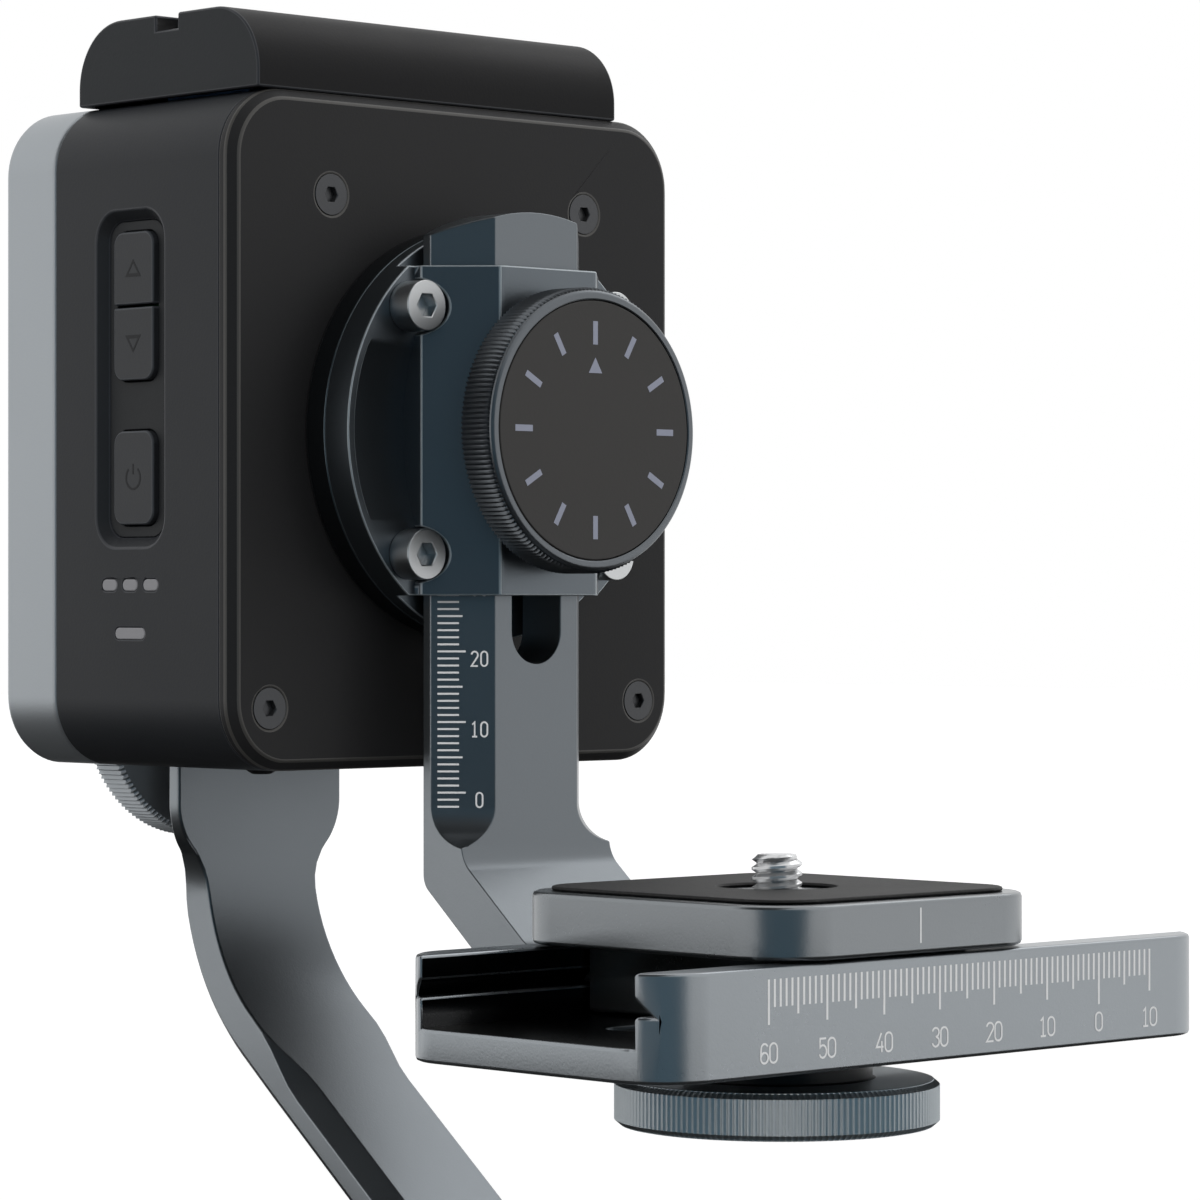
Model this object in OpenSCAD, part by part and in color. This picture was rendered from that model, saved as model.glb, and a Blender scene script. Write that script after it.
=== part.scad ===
// Motorized pan tilt head for panoramas.
// A lower drive unit pans, a bent arm carries an upper drive unit that tilts,
// and a bent bracket with a rail carries the camera plate.
// Origin on the pan axis, at the underside of the lower unit, Z up.

/* [Drive units] */
// Width of a drive unit across its control side
unit_w = 86; // [84:1:96]
// Height of a drive unit's face
unit_h = 96; // [94:1:106]
// Radius of the unit's corners
unit_r = 10; // [7:0.5:12]
// Thickness of the silver base
base_t = 12; // [10.5:0.5:16]
// Depth of the dark housing
housing_d = 37.3; // [36:0.1:44]
// Thickness of the black cover
cover_t = 2.8; // [2.6:0.1:4]
// Chamfer round the cover's face
cover_chamfer = 1.4; // [0.6:0.1:1.8]
// Wall of the housing
wall = 2.5; // [2.2:0.1:3]

/* [Turntables] */
// Radius of a turntable flange
table_r = 29.7; // [28.5:0.1:31]
// Height of a turntable flange over the cover
table_t = 4.3; // [3.5:0.1:6]
// Radius of the turntable hub
hub_r = 15; // [14:0.5:16]
// Wall of the bush round the hub
bush_wall = 2.5; // [2:0.1:3]
// Height of the bush inside the cover
bush_h = 7; // [6:0.5:8]

/* [Gears] */
// Tooth size, pitch diameter over tooth count
gear_m = 0.8; // [0.76:0.02:0.84]
// Teeth of the output gear
out_n = 48; // [46:2:50]
// Teeth of the idler gear
idler_n = 24; // [22:2:26]
// Teeth of the motor pinion
pinion_n = 12; // [12:1:14]
// Face width of the gears
gear_w = 5; // [4:0.5:6]

/* [Clamps] */
// Thickness of a clamp's ears
ear_t = 5.1; // [4:0.1:6]
// Half height of a clamp
clamp_half = 23.3; // [22.5:0.1:24]
// Wall of a clamp over the bar
clamp_wall = 2.8; // [2.4:0.1:3.2]
// Distance from the clamp screws to the turntable's edge
clamp_screw_edge = 4.25; // [4:0.05:4.5]
// Diameter of the clamp knobs
knob_d = 40.4; // [38:0.2:44]
// Thickness of the clamp knobs
knob_t = 6.8; // [5:0.1:7]
// Length of the collar under a clamp knob
collar_t = 2.6; // [2.4:0.1:4]
// Radius of the disc let into a clamp knob
disc_r = 18.3; // [16:0.1:18.5]

/* [Bars] */
// Flat width of a bar between its chamfers
bar_flat = 16; // [14:0.5:17]
// Chamfer along a bar's edges
bar_chamfer = 6.5; // [5:0.25:7]
// Thickness of a bar
bar_t = 8.1; // [7.2:0.1:9]
// Slope of the bracket's diagonal below level
bar_slope = 40; // [36:1:44]
// Width of the slots in the bars
slot_w = 9.4; // [8:0.2:11]
// Diameter of the studs through the slots
stud_d = 6; // [5:0.5:7]

/* [Arm] */
// Height of the tilt axis over the table
tilt_z = 209.5; // [205:0.5:230]
// Width of the arm's head
arm_head_w = 32; // [31:0.5:34]
// Width of the arm's waist
arm_waist_w = 21.4; // [20:0.2:24]
// Depth of the arm's seat in the upper base
arm_seat = 6.7; // [5:0.1:7]
// Drop from the tilt axis to the arm's upper bend
arm_bend_drop = 77; // [75:0.5:80]
// Distance from the pan axis to the arm's lower bend
arm_reach = 59.7; // [57:0.1:64]
// Slope of the arm's diagonal below level
arm_slope = 38; // [36:0.5:41]
// Width of the arm's diagonal
arm_mid_w = 23; // [22:0.2:25]
// Chamfer along the front of the arm's diagonal
arm_chamfer = 2.7; // [2:0.1:3]
// Drop from the tilt axis to the arm's knob
arm_knob_drop = 40; // [36:0.5:41]

/* [Rail and plate] */
// Length of the rail
rail_l = 101; // [96:1:110]
// Width of the rail
rail_w = 47.6; // [46:0.2:52]
// Height of the rail
rail_h = 13; // [12:0.2:15]
// Thickness of the rail's floor
rail_floor = 4.2; // [3.8:0.1:5]
// Drop from the tilt axis to the rail's underside
rail_drop = 80.2; // [78:0.1:84]
// Length of the rail on the right of the tilt axis
rail_right = 23.25; // [20:0.25:26]
// Thickness of the camera plate over the rail
plate_t = 6.6; // [5.6:0.2:9]
// Thickness of the pad on the plate
pad_t = 0.6; // [0.5:0.1:2]
// Distance of the camera screw on the left of the tilt axis
screw_left = 34; // [30:0.25:36]
// Diameter of the camera screw
screw_d = 6.35; // [6:0.05:6.6]
// Diameter of the camera screw's shank below its thread
shank_d = 5.6; // [5:0.1:5.8]
// Length of the camera screw over the pad
screw_over = 4; // [3:0.5:6]
// Diameter of the knob under the rail
rail_knob_d = 40.8; // [38:0.2:44]
// Diameter of the tripod thread in the lower base
tripod_d = 9.525; // [9:0.025:10]

/* [Hidden] */
$fn = 96;

// Clearances
run_gap = 0.3;
slide_gap = 0.15;
fit_gap = 0.05;
eps = 0.01;
// Share of an offset that a 45 degree corner gives to each of its sides
mitre = tan(22.5);

// Heights in a drive unit, from its base towards its turntable
cover_z = base_t + housing_d;
cover_top = cover_z + cover_t;
table_z = cover_top + run_gap;
table_top = cover_top + table_t;
ear_top = table_top + ear_t;
bar_sunk = 1.4;
bar_z = ear_top - bar_sunk;
bar_top = bar_z + bar_t;
bar_half = bar_flat / 2 + bar_chamfer;
bar_end_r = table_r + 1.7;
clamp_top = bar_top + clamp_wall;
knob_z = clamp_top + collar_t;
knob_top = knob_z + knob_t;
stud_in = 8;
stud_z = table_top - stud_in;

// Gear train
gear_gap = 4;
gear_z = cover_z - bush_h - gear_gap - gear_w;
out_r = gear_m * out_n / 2;
idler_r = gear_m * idler_n / 2;
pinion_r = gear_m * pinion_n / 2;
idler_dir = -60;
pinion_dir = 20;
idler_at = (out_r + idler_r) * [cos(idler_dir), sin(idler_dir)];
pinion_at = idler_at + (idler_r + pinion_r) * [cos(pinion_dir), sin(pinion_dir)];
idler_phase = idler_dir + 180 + 180 / idler_n;
mesh_turns = (pinion_dir - idler_phase) * idler_n / 360;
mesh_share = mesh_turns - floor(mesh_turns);
pinion_phase = pinion_dir + 180 + (mesh_share + 0.5) * 360 / pinion_n;
motor_gap = 1.5;
motor_r = unit_w / 2 - wall - motor_gap - pinion_at[0];
shaft_r = hub_r - 3;
shaft_end = 1;
chassis_t = 3;
chassis_gap = 2;
chassis_z = gear_z - chassis_gap - chassis_t;
chassis_w = 60;
chassis_l = 46;
chassis_r = 6;
chassis_at = [6, -10];
chassis_legs = [[-18, -28], [8, -29], [32, 4], [-18, 8]];
leg_r = 3;
motor_shaft_r = 1.5;
motor_plug = 3;
pin_r = 2;
pin_over = 1;

// Cover screws, the upper pair closer together than the lower one
screw_head_r = 3.05;
screw_cone = 1.8;
screw_shank_r = 1.5;
screw_l = 10;
screw_hex_r = 1.15;
post_r = 4.5;
upper_screw_x = 24.7;
upper_screw_in = 14.5;
lower_screw_in = [7, 8.9];
cover_screws_at = [
    [-upper_screw_x, unit_h / 2 - upper_screw_in],
    [upper_screw_x, unit_h / 2 - upper_screw_in],
    [lower_screw_in[0] - unit_w / 2, lower_screw_in[1] - unit_h / 2],
    [unit_w / 2 - lower_screw_in[0], lower_screw_in[1] - unit_h / 2]
];

// Controls on the left side
pod_z = base_t + 17.35;
pod_y = 7.6;
pod_w = 12.7;
pod_l = 45.2;
pod_r = 3;
bezel_sunk = 1.5;
bezel_t = wall - bezel_sunk;
lip = 0.8;
lip_over = 1;
key_w = 9;
key_l = 10.4;
power_l = 13.4;
key_r = 2;
key_sunk = 0.6;
key_travel = 0.6;
up_y = 23.4;
down_y = 12.6;
power_y = -6.5;
switch_w = 6;
switch_h = 2;
switch_gap = 0.1;
led_h = 1.7;
led_w = 3.4;
led_pitch = 4.7;
led_y = -21.8;
led_long_w = 6.8;
led_long_y = -28.7;
lip_x = -unit_w / 2 + bezel_sunk + bezel_t + lip;
board_x = lip_x + key_travel + switch_gap + switch_h;
board_t = 1.6;
board_l = unit_h - 30;
board_h = 30;

// Battery hump
hump_w = 69.5;
hump_x = -2.6;
hump_d = 41;
hump_h = 12;
hump_r = 9.5;
hump_wall = 1.6;
hump_z = base_t - 1.9;
notch_w = 5;
notch_deep = 2.3;
notch_l = 4;
cell_gap = 1;

// Clamp
clamp_foot = 2.6;
clamp_rim = 1.3;
hollow_r = 34;
saddle_edge = 0.7;
pocket_r = 4.1;
socket_head_r = 3.6;
socket_head_h = 4;
socket_r = 2;
socket_hex_r = 1.75;
clamp_screw_gap = 0.4;
clamp_screw_x = bar_half + socket_head_r + clamp_screw_gap;
clamp_screw_y = sqrt(pow(table_r - clamp_screw_edge, 2) - pow(clamp_screw_x, 2));
collar_r = 12;
knob_chamfer = 0.6;
disc_t = 1.2;

// Base
tripod_bush_r = 8;
tripod_collar = 3;
seat_end = 18;

// Arm, its upper unit and the camera bracket
arm_rise = tilt_z - arm_bend_drop - bar_top;
arm_y = arm_reach + arm_rise / tan(arm_slope);
tilt_back = arm_y + arm_seat;
leg_y = tilt_back - bar_top;
arm_bend_r = 30;
foot_bend_r = 5;
waist_r = 10;
waist_drop = 68;
arm_rear_chamfer = bar_t - 2.2;
arm_back_chamfer = 2.5;
bar_back_chamfer = 1;
back_from = waist_drop - 12;
back_run = 14;
chamfer_from = arm_bend_drop + 10.5;
chamfer_run = 8;
flare_top = 31;
flare_run = 24;
least_chamfer = 0.3;
arm_knob_collar = 3.6;
arm_knob_t = 7;
bracket_bend_drop = 60.5;
bracket_bend_r = 5;
heel_r = 3;
runout_drop = 53.2;
runout_r = 5.75;
slot_low = -33;
arm_slide = 25;

// Rail and plate
rail_z = tilt_z - rail_drop;
rail_top = rail_z + rail_h;
rail_x = rail_right - rail_l / 2;
rail_r = 8;
channel_half = rail_w / 2 - 5.2;
groove_deep = 1.9;
groove_top = 3;
groove_low = 5.1;
slide_left = 25;
slide_right = 38;
tongue_t = 2.2;
tongue_l = 19;
foot_screw_x = 8;
foot_screw_in = 10;
foot_screw_r = 1.5;
foot_head_r = 2.8;
foot_cone = 1.3;
plate_over = 0.5;
plate_w = rail_w + 2 * plate_over;
plate_r = 9;
plate_z = rail_top + run_gap;
plate_top = plate_z + plate_t;
pad_inset = 2.4;
pad_hole_r = 7.5;
rail_collar = 3.4;
rail_knob_t = 6;
plug_r = 2.7;
plug_h = 0.9;
plug_at = [-26, 26.2];

// Flat shapes
module slab2d(w, l, r) {
    square([w - 2 * r, l], center = true);
    square([w, l - 2 * r], center = true);
    for (sx = [-1, 1], sy = [-1, 1])
        translate([sx * (w / 2 - r), sy * (l / 2 - r)]) circle(r);
}

module slab(w, l, r, h) {
    linear_extrude(h) slab2d(w, l, r);
}

module stadium2d(w, l) {
    square([w, l - w], center = true);
    for (s = [-1, 1]) translate([0, s * (l - w) / 2]) circle(w / 2);
}

module chamfer_prism(w, l, c) {
    rotate([90, 0, 0])
        linear_extrude(l, center = true)
            polygon([[-w / 2, 0], [w / 2, 0], [w / 2 - c, c], [c - w / 2, c]]);
}

// Slab with a chamfer round its upper edge
module chamfered_slab(w, l, r, h, c) {
    slab(w, l, r, h - c);
    translate([0, 0, h - c]) {
        chamfer_prism(w, l - 2 * r, c);
        rotate([0, 0, 90]) chamfer_prism(l, w - 2 * r, c);
        for (sx = [-1, 1], sy = [-1, 1])
            translate([sx * (w / 2 - r), sy * (l / 2 - r), 0]) cylinder(c, r, r - c);
    }
}

// Points of an arc that rounds the corner b between a and c
function corner(a, b, c, r, n = 10) =
    let (
        u = (a - b) / norm(a - b),
        v = (c - b) / norm(c - b),
        half = acos(u * v) / 2,
        mid = b + (u + v) / norm(u + v) * r / sin(half),
        p = b + u * r / tan(half) - mid,
        q = b + v * r / tan(half) - mid,
        start = atan2(p[1], p[0]),
        turn = atan2(q[1], q[0]) - start,
        sweep = turn > 180 ? turn - 360 : turn < -180 ? turn + 360 : turn
    )
    [for (i = [0 : n]) mid + r * [cos(start + sweep * i / n), sin(start + sweep * i / n)]];

// Placing of the upper unit, drawn like the lower one with its turntable up
module tilt() {
    translate([0, tilt_back, tilt_z]) rotate([90, 0, 0]) children();
}

// Turns a shape drawn on the floor to the left side of a unit
module on_left() {
    translate([-unit_w / 2, 0, 0]) rotate([0, -90, 0]) children();
}

// Silver base of a unit
module unit_base() {
    slab(unit_w, unit_h, unit_r, base_t);
}

module pan_base() {
    color("silver") difference() {
        unit_base();
        translate([0, 0, -eps]) cylinder(base_t + 2 * eps, r = tripod_bush_r);
    }
}

// Threaded bush for the tripod screw, with a collar inside the housing
module tripod_bush() {
    color("gainsboro") difference() {
        union() {
            cylinder(base_t, r = tripod_bush_r);
            translate([0, 0, base_t]) cylinder(tripod_collar, r = tripod_bush_r + 2);
        }
        translate([0, 0, -eps]) cylinder(base_t + tripod_collar + 2 * eps, d = tripod_d);
    }
}

// Upper base, with a seat for the arm's head and a thread for its knob
module tilt_base() {
    color("silver") tilt() difference() {
        unit_base();
        translate([-arm_head_w / 2 - slide_gap, -unit_h / 2 - eps, -eps])
            cube([arm_head_w + 2 * slide_gap, unit_h / 2 - seat_end + slide_gap, arm_seat + eps]);
        translate([0, -arm_knob_drop, 0]) cylinder(base_t + eps, d = stud_d + 2 * fit_gap);
    }
}

// Dark housing with posts for the cover screws and openings for the controls
module unit_housing() {
    difference() {
        union() {
            translate([0, 0, base_t]) linear_extrude(housing_d) difference() {
                slab2d(unit_w, unit_h, unit_r);
                slab2d(unit_w - 2 * wall, unit_h - 2 * wall, unit_r - wall);
            }
            for (p = cover_screws_at) housing_post(p);
        }
        for (p = cover_screws_at)
            translate([p[0], p[1], cover_top - screw_l]) cylinder(screw_l, r = screw_shank_r);
        translate([0, pod_y, pod_z]) on_left() {
            translate([0, 0, -wall - eps]) linear_extrude(wall + 2 * eps) slab2d(pod_w, pod_l, pod_r);
            translate([0, 0, eps]) mirror([0, 0, 1])
                chamfered_slab(pod_w + 2 * bezel_sunk, pod_l + 2 * bezel_sunk, pod_r + bezel_sunk,
                    bezel_sunk + 2 * eps, bezel_sunk);
        }
        led_shapes(eps);
    }
}

module housing_post(p) {
    edge = sign(p[1]) * (unit_h / 2 - wall / 2);
    translate([0, 0, base_t]) linear_extrude(housing_d) intersection() {
        slab2d(unit_w - wall, unit_h - wall, unit_r - wall / 2);
        union() {
            translate(p) circle(post_r);
            translate([p[0] - wall / 2, min(p[1], edge)]) square([wall, abs(edge - p[1])]);
        }
    }
}

// Black cover with a boss for the bush
module unit_cover() {
    difference() {
        union() {
            translate([0, 0, cover_z]) chamfered_slab(unit_w, unit_h, unit_r, cover_t, cover_chamfer);
            translate([0, 0, cover_z - bush_h]) cylinder(bush_h + eps, r = hub_r + bush_wall + 3);
        }
        translate([0, 0, cover_z - bush_h - eps])
            cylinder(bush_h + cover_t + 2 * eps, r = hub_r + fit_gap + bush_wall);
        for (p = cover_screws_at) translate([p[0], p[1], cover_top]) {
            translate([0, 0, -cover_t - eps]) cylinder(cover_t + 2 * eps, r = screw_shank_r);
            translate([0, 0, -screw_cone]) cylinder(screw_cone, screw_shank_r, screw_head_r);
        }
    }
}

module unit_cover_screws() {
    for (p = cover_screws_at) translate([p[0], p[1], cover_top]) difference() {
        union() {
            translate([0, 0, -screw_l]) cylinder(screw_l - screw_cone + eps, r = screw_shank_r);
            translate([0, 0, -screw_cone]) cylinder(screw_cone, screw_shank_r, screw_head_r);
        }
        translate([0, 0, -screw_cone / 2]) cylinder(screw_cone, r = screw_hex_r, $fn = 6);
    }
}

// Turntable flange with its hub, and a thread in the middle for the clamp's stud
module unit_turntable() {
    difference() {
        union() {
            translate([0, 0, table_z]) cylinder(table_top - table_z, r = table_r);
            translate([0, 0, gear_z + gear_w]) cylinder(table_z - gear_z - gear_w + eps, r = hub_r);
            translate([0, 0, gear_z - shaft_end]) cylinder(gear_w + shaft_end + eps, r = shaft_r);
        }
        translate([0, 0, stud_z - run_gap]) cylinder(stud_in + 1, d = stud_d + 2 * fit_gap);
        for (sx = [-1, 1], sy = [-1, 1])
            translate([sx * clamp_screw_x, sy * clamp_screw_y, table_z - eps])
                cylinder(table_t, r = socket_r);
    }
}

// Plain bush that the hub runs in
module unit_bush() {
    translate([0, 0, cover_z - bush_h]) difference() {
        cylinder(bush_h + cover_t, r = hub_r + fit_gap + bush_wall);
        translate([0, 0, -eps]) cylinder(bush_h + cover_t + 2 * eps, r = hub_r + fit_gap);
    }
}

// Toothed outline, slim enough to run free of its neighbour
module gear2d(n, phase) {
    r = gear_m * n / 2;
    tip = r + 0.75 * gear_m;
    root = r - 1.15 * gear_m;
    pitch = 360 / n;
    flank = [[-0.27, root], [-0.12, tip], [0.12, tip], [0.27, root]];
    polygon([for (i = [0 : n - 1], f = flank)
        let (a = phase + (i + f[0]) * pitch) f[1] * [cos(a), sin(a)]]);
}

module gear(at, n, phase, bore_r) {
    translate([at[0], at[1], gear_z]) difference() {
        linear_extrude(gear_w) gear2d(n, phase);
        translate([0, 0, -eps]) cylinder(gear_w + 2 * eps, r = bore_r);
    }
}

module unit_output_gear() {
    gear([0, 0], out_n, idler_dir, shaft_r);
}

module unit_idler_gear() {
    gear(idler_at, idler_n, idler_phase, pin_r + fit_gap);
}

module unit_pinion() {
    gear(pinion_at, pinion_n, pinion_phase, motor_shaft_r + fit_gap);
}

// Round motor under the chassis, with its shaft and its plug on the base
module unit_motor() {
    translate([pinion_at[0], pinion_at[1], 0]) {
        translate([0, 0, base_t + motor_plug]) cylinder(chassis_z - base_t - motor_plug, r = motor_r);
        translate([0, 0, base_t]) cylinder(motor_plug + eps, r = motor_r / 2);
        translate([0, 0, chassis_z - eps]) cylinder(gear_z + gear_w - chassis_z, r = motor_shaft_r);
    }
}

// Inner deck on legs, with the idler's pin and shoulder
module unit_chassis() {
    difference() {
        translate([chassis_at[0], chassis_at[1], chassis_z])
            slab(chassis_w, chassis_l, chassis_r, chassis_t);
        translate([pinion_at[0], pinion_at[1], chassis_z - eps])
            cylinder(chassis_t + 2 * eps, r = motor_shaft_r + run_gap);
    }
    for (p = chassis_legs)
        translate([p[0], p[1], base_t]) cylinder(chassis_z - base_t + eps, r = leg_r);
    translate([idler_at[0], idler_at[1], chassis_z + chassis_t - eps]) {
        cylinder(chassis_gap + gear_w + pin_over, r = pin_r);
        cylinder(chassis_gap - run_gap, r = 2 * pin_r);
    }
}

// Circuit board behind the keys, with one switch for each
module unit_circuit_board() {
    translate([board_x, -board_l / 2, base_t]) cube([board_t, board_l, board_h]);
    for (y = [up_y, down_y, power_y])
        translate([board_x - switch_h, y - switch_w / 2, pod_z - switch_w / 2])
            cube([switch_h + eps, switch_w, switch_w]);
}

// Sunk plate round the keys
module unit_button_bezel() {
    pair_l = up_y - down_y + key_l;
    keys = [[(up_y + down_y) / 2, pair_l], [power_y, power_l]];
    translate([0, pod_y, pod_z]) on_left()
        translate([0, 0, -bezel_sunk - bezel_t]) linear_extrude(bezel_t) difference() {
            slab2d(pod_w, pod_l, pod_r);
            for (k = keys)
                translate([0, k[0] - pod_y])
                    slab2d(key_w + 2 * slide_gap, k[1] + 2 * slide_gap, key_r + slide_gap);
        }
}

// Face of a key: round at both ends, or square at its lower (-1) or upper (1) one
module key2d(w, l, square_end) {
    slab2d(w, l, key_r);
    if (square_end != 0)
        translate([0, square_end * l / 4]) square([w, l / 2], center = true);
}

// Key with a lip behind the bezel
module unit_key(y, l, square_end = 0) {
    translate([0, y, pod_z]) on_left() translate([0, 0, -bezel_sunk - bezel_t - lip]) {
        linear_extrude(bezel_sunk + bezel_t + lip - key_sunk) key2d(key_w, l, square_end);
        linear_extrude(lip - fit_gap) key2d(key_w + 2 * lip_over, l, square_end);
    }
}

// Light pipes through the housing wall
module led_shapes(over) {
    for (i = [-1 : 1]) led(pod_z + i * led_pitch, led_y, led_w, over);
    led(pod_z, led_long_y, led_long_w, over);
}

module led(z, y, w, over) {
    translate([0, y, z]) on_left() translate([0, 0, -wall - over])
        linear_extrude(wall + 2 * over) rotate([0, 0, 90]) stadium2d(led_h, w);
}

// Battery hump on the end of a unit
module hump2d(d, h, r) {
    translate([-d / 2, 0]) square([d, h - r]);
    translate([r - d / 2, 0]) square([d - 2 * r, h]);
    for (s = [-1, 1]) translate([s * (d / 2 - r), h - r]) circle(r);
}

// Turns a hump's outline, drawn flat, to stand on the end of the unit
module on_end(w) {
    translate([hump_x + w / 2, unit_h / 2, hump_z + hump_d / 2])
        rotate([0, -90, 0]) linear_extrude(w) children();
}

module unit_battery_cover() {
    end_x = hump_x - hump_w / 2;
    notch_y = unit_h / 2 + hump_h - notch_deep;
    notch_z = hump_z + (hump_d - notch_w) / 2;
    difference() {
        union() {
            hump_shell();
            translate([end_x + eps, notch_y - hump_wall, notch_z - hump_wall])
                cube([notch_l + hump_wall, notch_deep + hump_wall - eps, notch_w + 2 * hump_wall]);
        }
        translate([end_x - eps, notch_y, notch_z]) cube([notch_l, notch_deep + eps, notch_w]);
    }
}

module hump_shell() {
    difference() {
        on_end(hump_w) difference() {
            hump2d(hump_d, hump_h, hump_r);
            translate([-hump_d / 2, -hump_r]) square([hump_d, hump_r]);
        }
        on_end(hump_w - 2 * hump_wall) translate([0, -eps])
            hump2d(hump_d - 2 * hump_wall, hump_h - hump_wall, hump_r - hump_wall);
    }
}

// Flat cell under the hump
module unit_battery_cell() {
    w = hump_w - 2 * hump_wall - 4 * cell_gap - 2 * notch_l;
    d = hump_d - 2 * hump_wall - 2 * hump_r;
    translate([hump_x - w / 2, unit_h / 2, hump_z + (hump_d - d) / 2])
        cube([w, hump_h - hump_wall - cell_gap, d]);
}

// Section of a bar in its clamp, grown by a gap or a wall
function bar_section(grow, low) = [
    [-bar_half - grow, low],
    [-bar_half - grow, bar_top - bar_chamfer + mitre * grow],
    [-bar_flat / 2 - mitre * grow, bar_top + grow],
    [bar_flat / 2 + mitre * grow, bar_top + grow],
    [bar_half + grow, bar_top - bar_chamfer + mitre * grow],
    [bar_half + grow, low]
];

module along_bar(l, section) {
    rotate([90, 0, 0]) linear_extrude(l, center = true) polygon(section);
}

// Raised middle of a clamp, with a round hollow inside its rim on both sides
module clamp_ears() {
    reach = table_r - bar_half - clamp_wall;
    difference() {
        linear_extrude(ear_t) intersection() {
            circle(table_r);
            square([2 * table_r, 2 * clamp_half], center = true);
        }
        intersection() {
            cylinder(2 * ear_t, r = table_r - clamp_rim);
            for (s = [-1, 1])
                translate([s * (bar_half + clamp_wall + reach / 2), 0, clamp_foot + hollow_r])
                    rotate([0, 90, 0]) cylinder(reach, r = hollow_r, center = true);
        }
    }
}

// Clamp that holds a bar on the turntable
module unit_clamp() {
    difference() {
        union() {
            translate([0, 0, table_top]) {
                cylinder(clamp_foot, r = table_r);
                clamp_ears();
            }
            intersection() {
                along_bar(2 * clamp_half, bar_section(clamp_wall, ear_top - eps));
                saddle_chamfer();
            }
        }
        along_bar(2 * clamp_half + 2, bar_section(slide_gap, bar_z - slide_gap));
        translate([0, 0, table_top - eps]) cylinder(clamp_top, d = stud_d + 2 * fit_gap);
        for (sx = [-1, 1], sy = [-1, 1]) translate([sx * clamp_screw_x, sy * clamp_screw_y, 0]) {
            translate([0, 0, table_top - eps]) cylinder(ear_t + 2 * eps, r = socket_r + fit_gap);
            translate([0, 0, ear_top]) cylinder(clamp_top, r = pocket_r);
        }
    }
}

// Narrow chamfer between the saddle's face and its slopes
module saddle_chamfer() {
    half = bar_flat / 2 + mitre * clamp_wall;
    grown = bar_half + clamp_wall;
    along_bar(2 * clamp_half, [
        [-grown, ear_top - eps],
        [-grown, clamp_top],
        [-half - saddle_edge, clamp_top - saddle_edge / 2],
        [saddle_edge - half, clamp_top],
        [half - saddle_edge, clamp_top],
        [half + saddle_edge, clamp_top - saddle_edge / 2],
        [grown, clamp_top],
        [grown, ear_top - eps]
    ]);
}

// Cap screws that hold the clamp down
module unit_clamp_screws() {
    for (sx = [-1, 1], sy = [-1, 1])
        translate([sx * clamp_screw_x, sy * clamp_screw_y, ear_top]) difference() {
            union() {
                cylinder(socket_head_h, r = socket_head_r);
                translate([0, 0, table_z - ear_top]) cylinder(ear_top - table_z + eps, r = socket_r);
            }
            translate([0, 0, socket_head_h / 2]) cylinder(socket_head_h, r = socket_hex_r, $fn = 6);
        }
}

// Round grip with chamfered edges
module grip(d, t) {
    cylinder(knob_chamfer, d / 2 - knob_chamfer, d / 2);
    translate([0, 0, knob_chamfer]) cylinder(t - 2 * knob_chamfer, r = d / 2);
    translate([0, 0, t - knob_chamfer]) cylinder(knob_chamfer, d / 2, d / 2 - knob_chamfer);
}

// Clamp knob with its collar and the stud that goes through the bar's slot
module unit_clamp_knob() {
    difference() {
        union() {
            translate([0, 0, knob_z]) grip(knob_d, knob_t);
            translate([0, 0, clamp_top + fit_gap]) cylinder(collar_t, r = collar_r);
            translate([0, 0, stud_z]) cylinder(knob_z - stud_z, d = stud_d);
        }
        translate([0, 0, knob_top - disc_t]) cylinder(disc_t + eps, r = disc_r);
    }
}

module unit_knob_disc() {
    translate([0, 0, knob_top - disc_t]) cylinder(disc_t - fit_gap, r = disc_r);
}

// Small round plug under the upper unit
module port_plug() {
    color("dimgray") tilt() translate([plug_at[0], -unit_h / 2, base_t + plug_at[1]]) rotate([90, 0, 0])
        cylinder(plug_h, plug_r, plug_r / 2);
}

// Half width of the arm at a drop below the tilt axis
function arm_half(drop) =
    let (
        head = arm_head_w / 2,
        waist = arm_waist_w / 2,
        rise = sqrt(pow(2 * waist_r, 2) - pow(2 * waist_r - head + waist, 2)),
        up = waist_drop - drop
    )
    up > rise ? head
    : up > rise / 2 ? head - waist_r + sqrt(pow(waist_r, 2) - pow(rise - up, 2))
    : up > 0 ? waist + waist_r - sqrt(pow(waist_r, 2) - pow(up, 2))
    : waist + (arm_mid_w / 2 - waist) * ease(-up / 26);

// Value between a and b
function mix(a, b, t) = a + (b - a) * t;

// Smooth step from 0 to 1
function ease(t) = let (k = min(max(t, 0), 1)) k * k * (3 - 2 * k);

// Stations along the arm's inner face, from its head to its end: place across and height
arm_head_z = tilt_z - seat_end;
arm_end_y = -bar_end_r;
arm_corners = [
    [arm_y, arm_head_z],
    [arm_y, tilt_z - arm_bend_drop],
    [arm_reach, bar_top],
    [arm_end_y, bar_top]
];
arm_bend = corner(arm_corners[0], arm_corners[1], arm_corners[2], arm_bend_r, 14);
arm_foot_bend = corner(arm_corners[1], arm_corners[2], arm_corners[3], foot_bend_r, 8);
waist_from = tilt_z - waist_drop + 1.4 * waist_r;
waist_steps = 18;
diagonal_steps = 28;
arm_path = concat(
    [arm_corners[0]],
    [for (i = [0 : waist_steps - 1])
        [arm_y, waist_from + (arm_bend[0][1] - waist_from) * i / waist_steps]],
    arm_bend,
    [for (i = [1 : diagonal_steps - 1])
        arm_bend[14] + (arm_foot_bend[0] - arm_bend[14]) * i / diagonal_steps],
    arm_foot_bend,
    [arm_corners[3]]
);

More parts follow.
